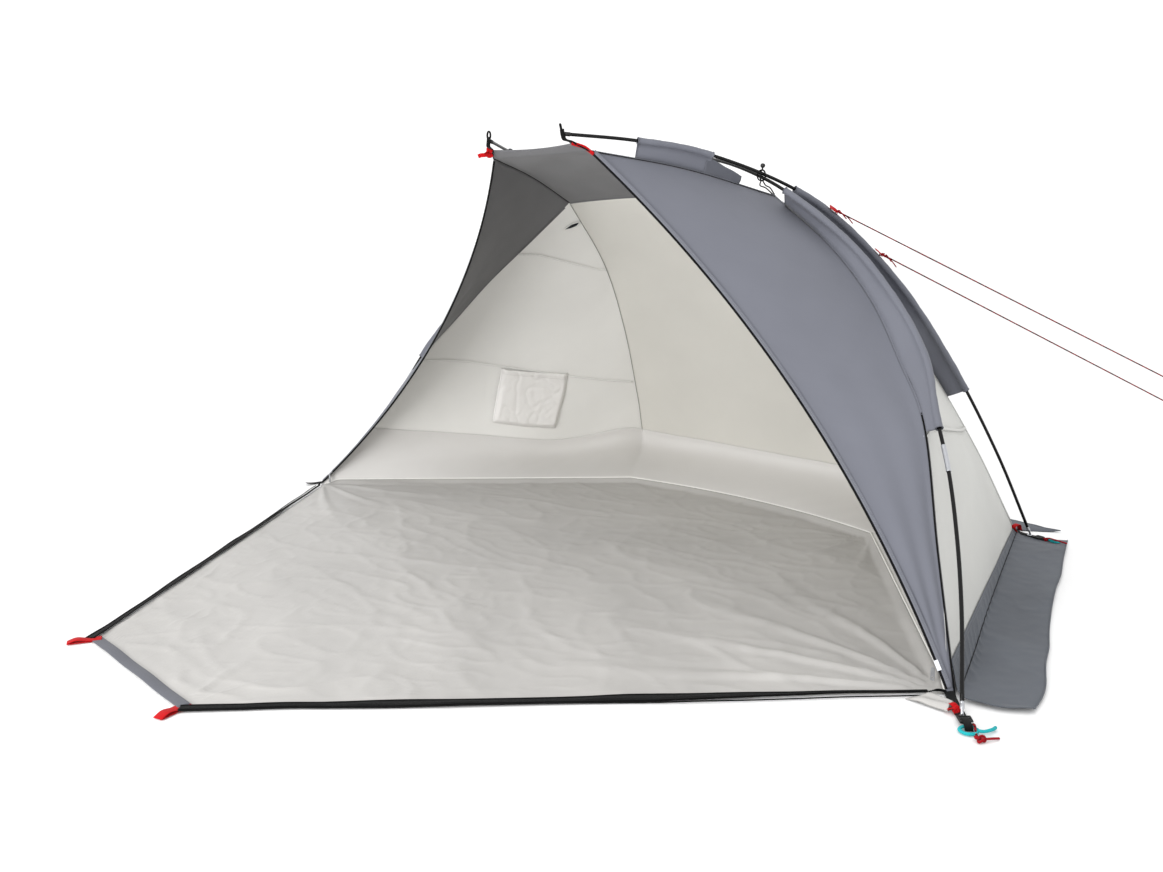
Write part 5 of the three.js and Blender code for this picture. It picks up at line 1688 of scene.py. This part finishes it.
# ---------------------------------------------------------------- rope tabs on the rear sleeve
for number, (start, way, along) in enumerate(ROPE_STARTS, 1):
    back = start - way * (ROPE_START - 0.006)
    tab = [back + along * 0.014, back + way * 0.003 + along * 0.012, start - way * 0.002 + along * 0.002,
           start - way * 0.002 - along * 0.002, back + way * 0.003 - along * 0.012, back - along * 0.014]
    make(f"rope_tab_{number}", strap(tab, 0.02, 0.0017, 36, across=np.cross(way, along)), RED_WEBBING,
         "red_webbing")
    side_way = np.cross(way, along)
    tails = [cord([start, start + way * 0.01 + side_way * k + along * 0.006,
                   start + way * 0.026 + side_way * k * 1.6 + along * reach,
                   start + way * 0.042 + side_way * k + along * (reach + 0.006) - (0, 0, 0.01)], 0.0017, 24)
             for k, reach in ((0.006, 0.012), (-0.006, -0.014))]
    make(f"rope_knot_{number}", [knot(start + way * 0.004, 0.008, 0.0019, 0.5 * number), *tails], RED_CORD,
         "rope")


# ---------------------------------------------------------------- door corners and zip hardware
for hand, side in SIDES.items():
    corner = np.array([side * 0.258 + DOOR_SHIFT, -DOOR_DEPTH + 0.012, 0.0062])
    way = unit(np.array([side * 0.35, -0.94, 0]))
    layers = []
    for heights in ((0, 0, 0.004, -0.002), (-0.003,) * 4):
        route = [corner + way * away + (0, 0, z) for away, z in zip((-0.012, 0.02, 0.045, 0.066), heights)]
        layers.append(strap(route, 0.025, 0.0016, 26))
    make(f"door_pull_{hand}_webbing", layers, RED_WEBBING, "red_webbing", body="door",
         replaces=[f"door_pull_{hand}"])

for name in ("slider_left", "slider_right", "zip_pull_left", "zip_pull_right"):
    repaint(name, STEEL)


def add_corner_fold():
    """The spare cloth that bunches up under the zip's end at the right foot."""
    u, v = uv_grid(44, 22)
    corners = [np.array(c) for c in ((1.318, -0.034, 0.006), (1.388, -0.05, 0.008), (1.296, -0.084, 0.002),
                                     (1.394, -0.084, 0.003))]
    a, b = u[..., None], v[..., None]
    points = (1 - b) * ((1 - a) * corners[0] + a * corners[1]) + b * ((1 - a) * corners[2] + a * corners[3])
    pleats = np.abs(np.sin(math.pi * (1.5 * v + 0.35 * u))) * np.sin(math.pi * np.clip(v, 0, 1)) ** 0.5
    points[..., 2] += (0.013 * pleats * smooth(u / 0.3)
                       + 0.0025 * (1 + wobble(points, 40, 81)) * smooth(u / 0.2))
    layered("corner_fold_right", points, [GROUND], "ground_fabric", COATED_THICK,
            outward=np.array([0, 0, 1.0]))


add_corner_fold()


# ---------------------------------------------------------------- floor and light
def add_stage():
    mesh = bpy.data.meshes.new("studio_floor")
    size = 60
    mesh.from_pydata([(-size, -size, 0), (size, -size, 0), (size, size, 0), (-size, size, 0)], [],
                     [(0, 1, 2, 3)])
    floor = bpy.data.objects.new("studio_floor", mesh)
    shade = Shader("studio_white", 0.9)
    shade.colour((0.88, 0.88, 0.88))
    mesh.materials.append(shade.material)
    bpy.context.scene.collection.objects.link(floor)


def add_light(name, at, target, size, power):
    data = bpy.data.lights.new(name, "AREA")
    data.shape, data.size, data.energy = "DISK", size, power
    light = bpy.data.objects.new(name, data)
    light.location = at
    light.rotation_mode = "QUATERNION"
    light.rotation_quaternion = (Vector(target) - Vector(at)).to_track_quat("-Z", "Y")
    bpy.context.scene.collection.objects.link(light)


add_stage()
world = bpy.data.worlds.new("studio")
bpy.context.scene.world = world
world.use_nodes = True
backdrop = world.node_tree.nodes["Background"].inputs
backdrop["Color"].default_value, backdrop["Strength"].default_value = (1, 1, 1, 1), 1.18
add_light("key", (2.2, -3.6, 4.2), (0, 0.3, 0.4), 2.2, 50)
add_light("front", (0.9, -4.3, 1.2), (-0.2, 0.8, 0.5), 2.4, 120)
bpy.context.scene.view_settings.view_transform = "Standard"
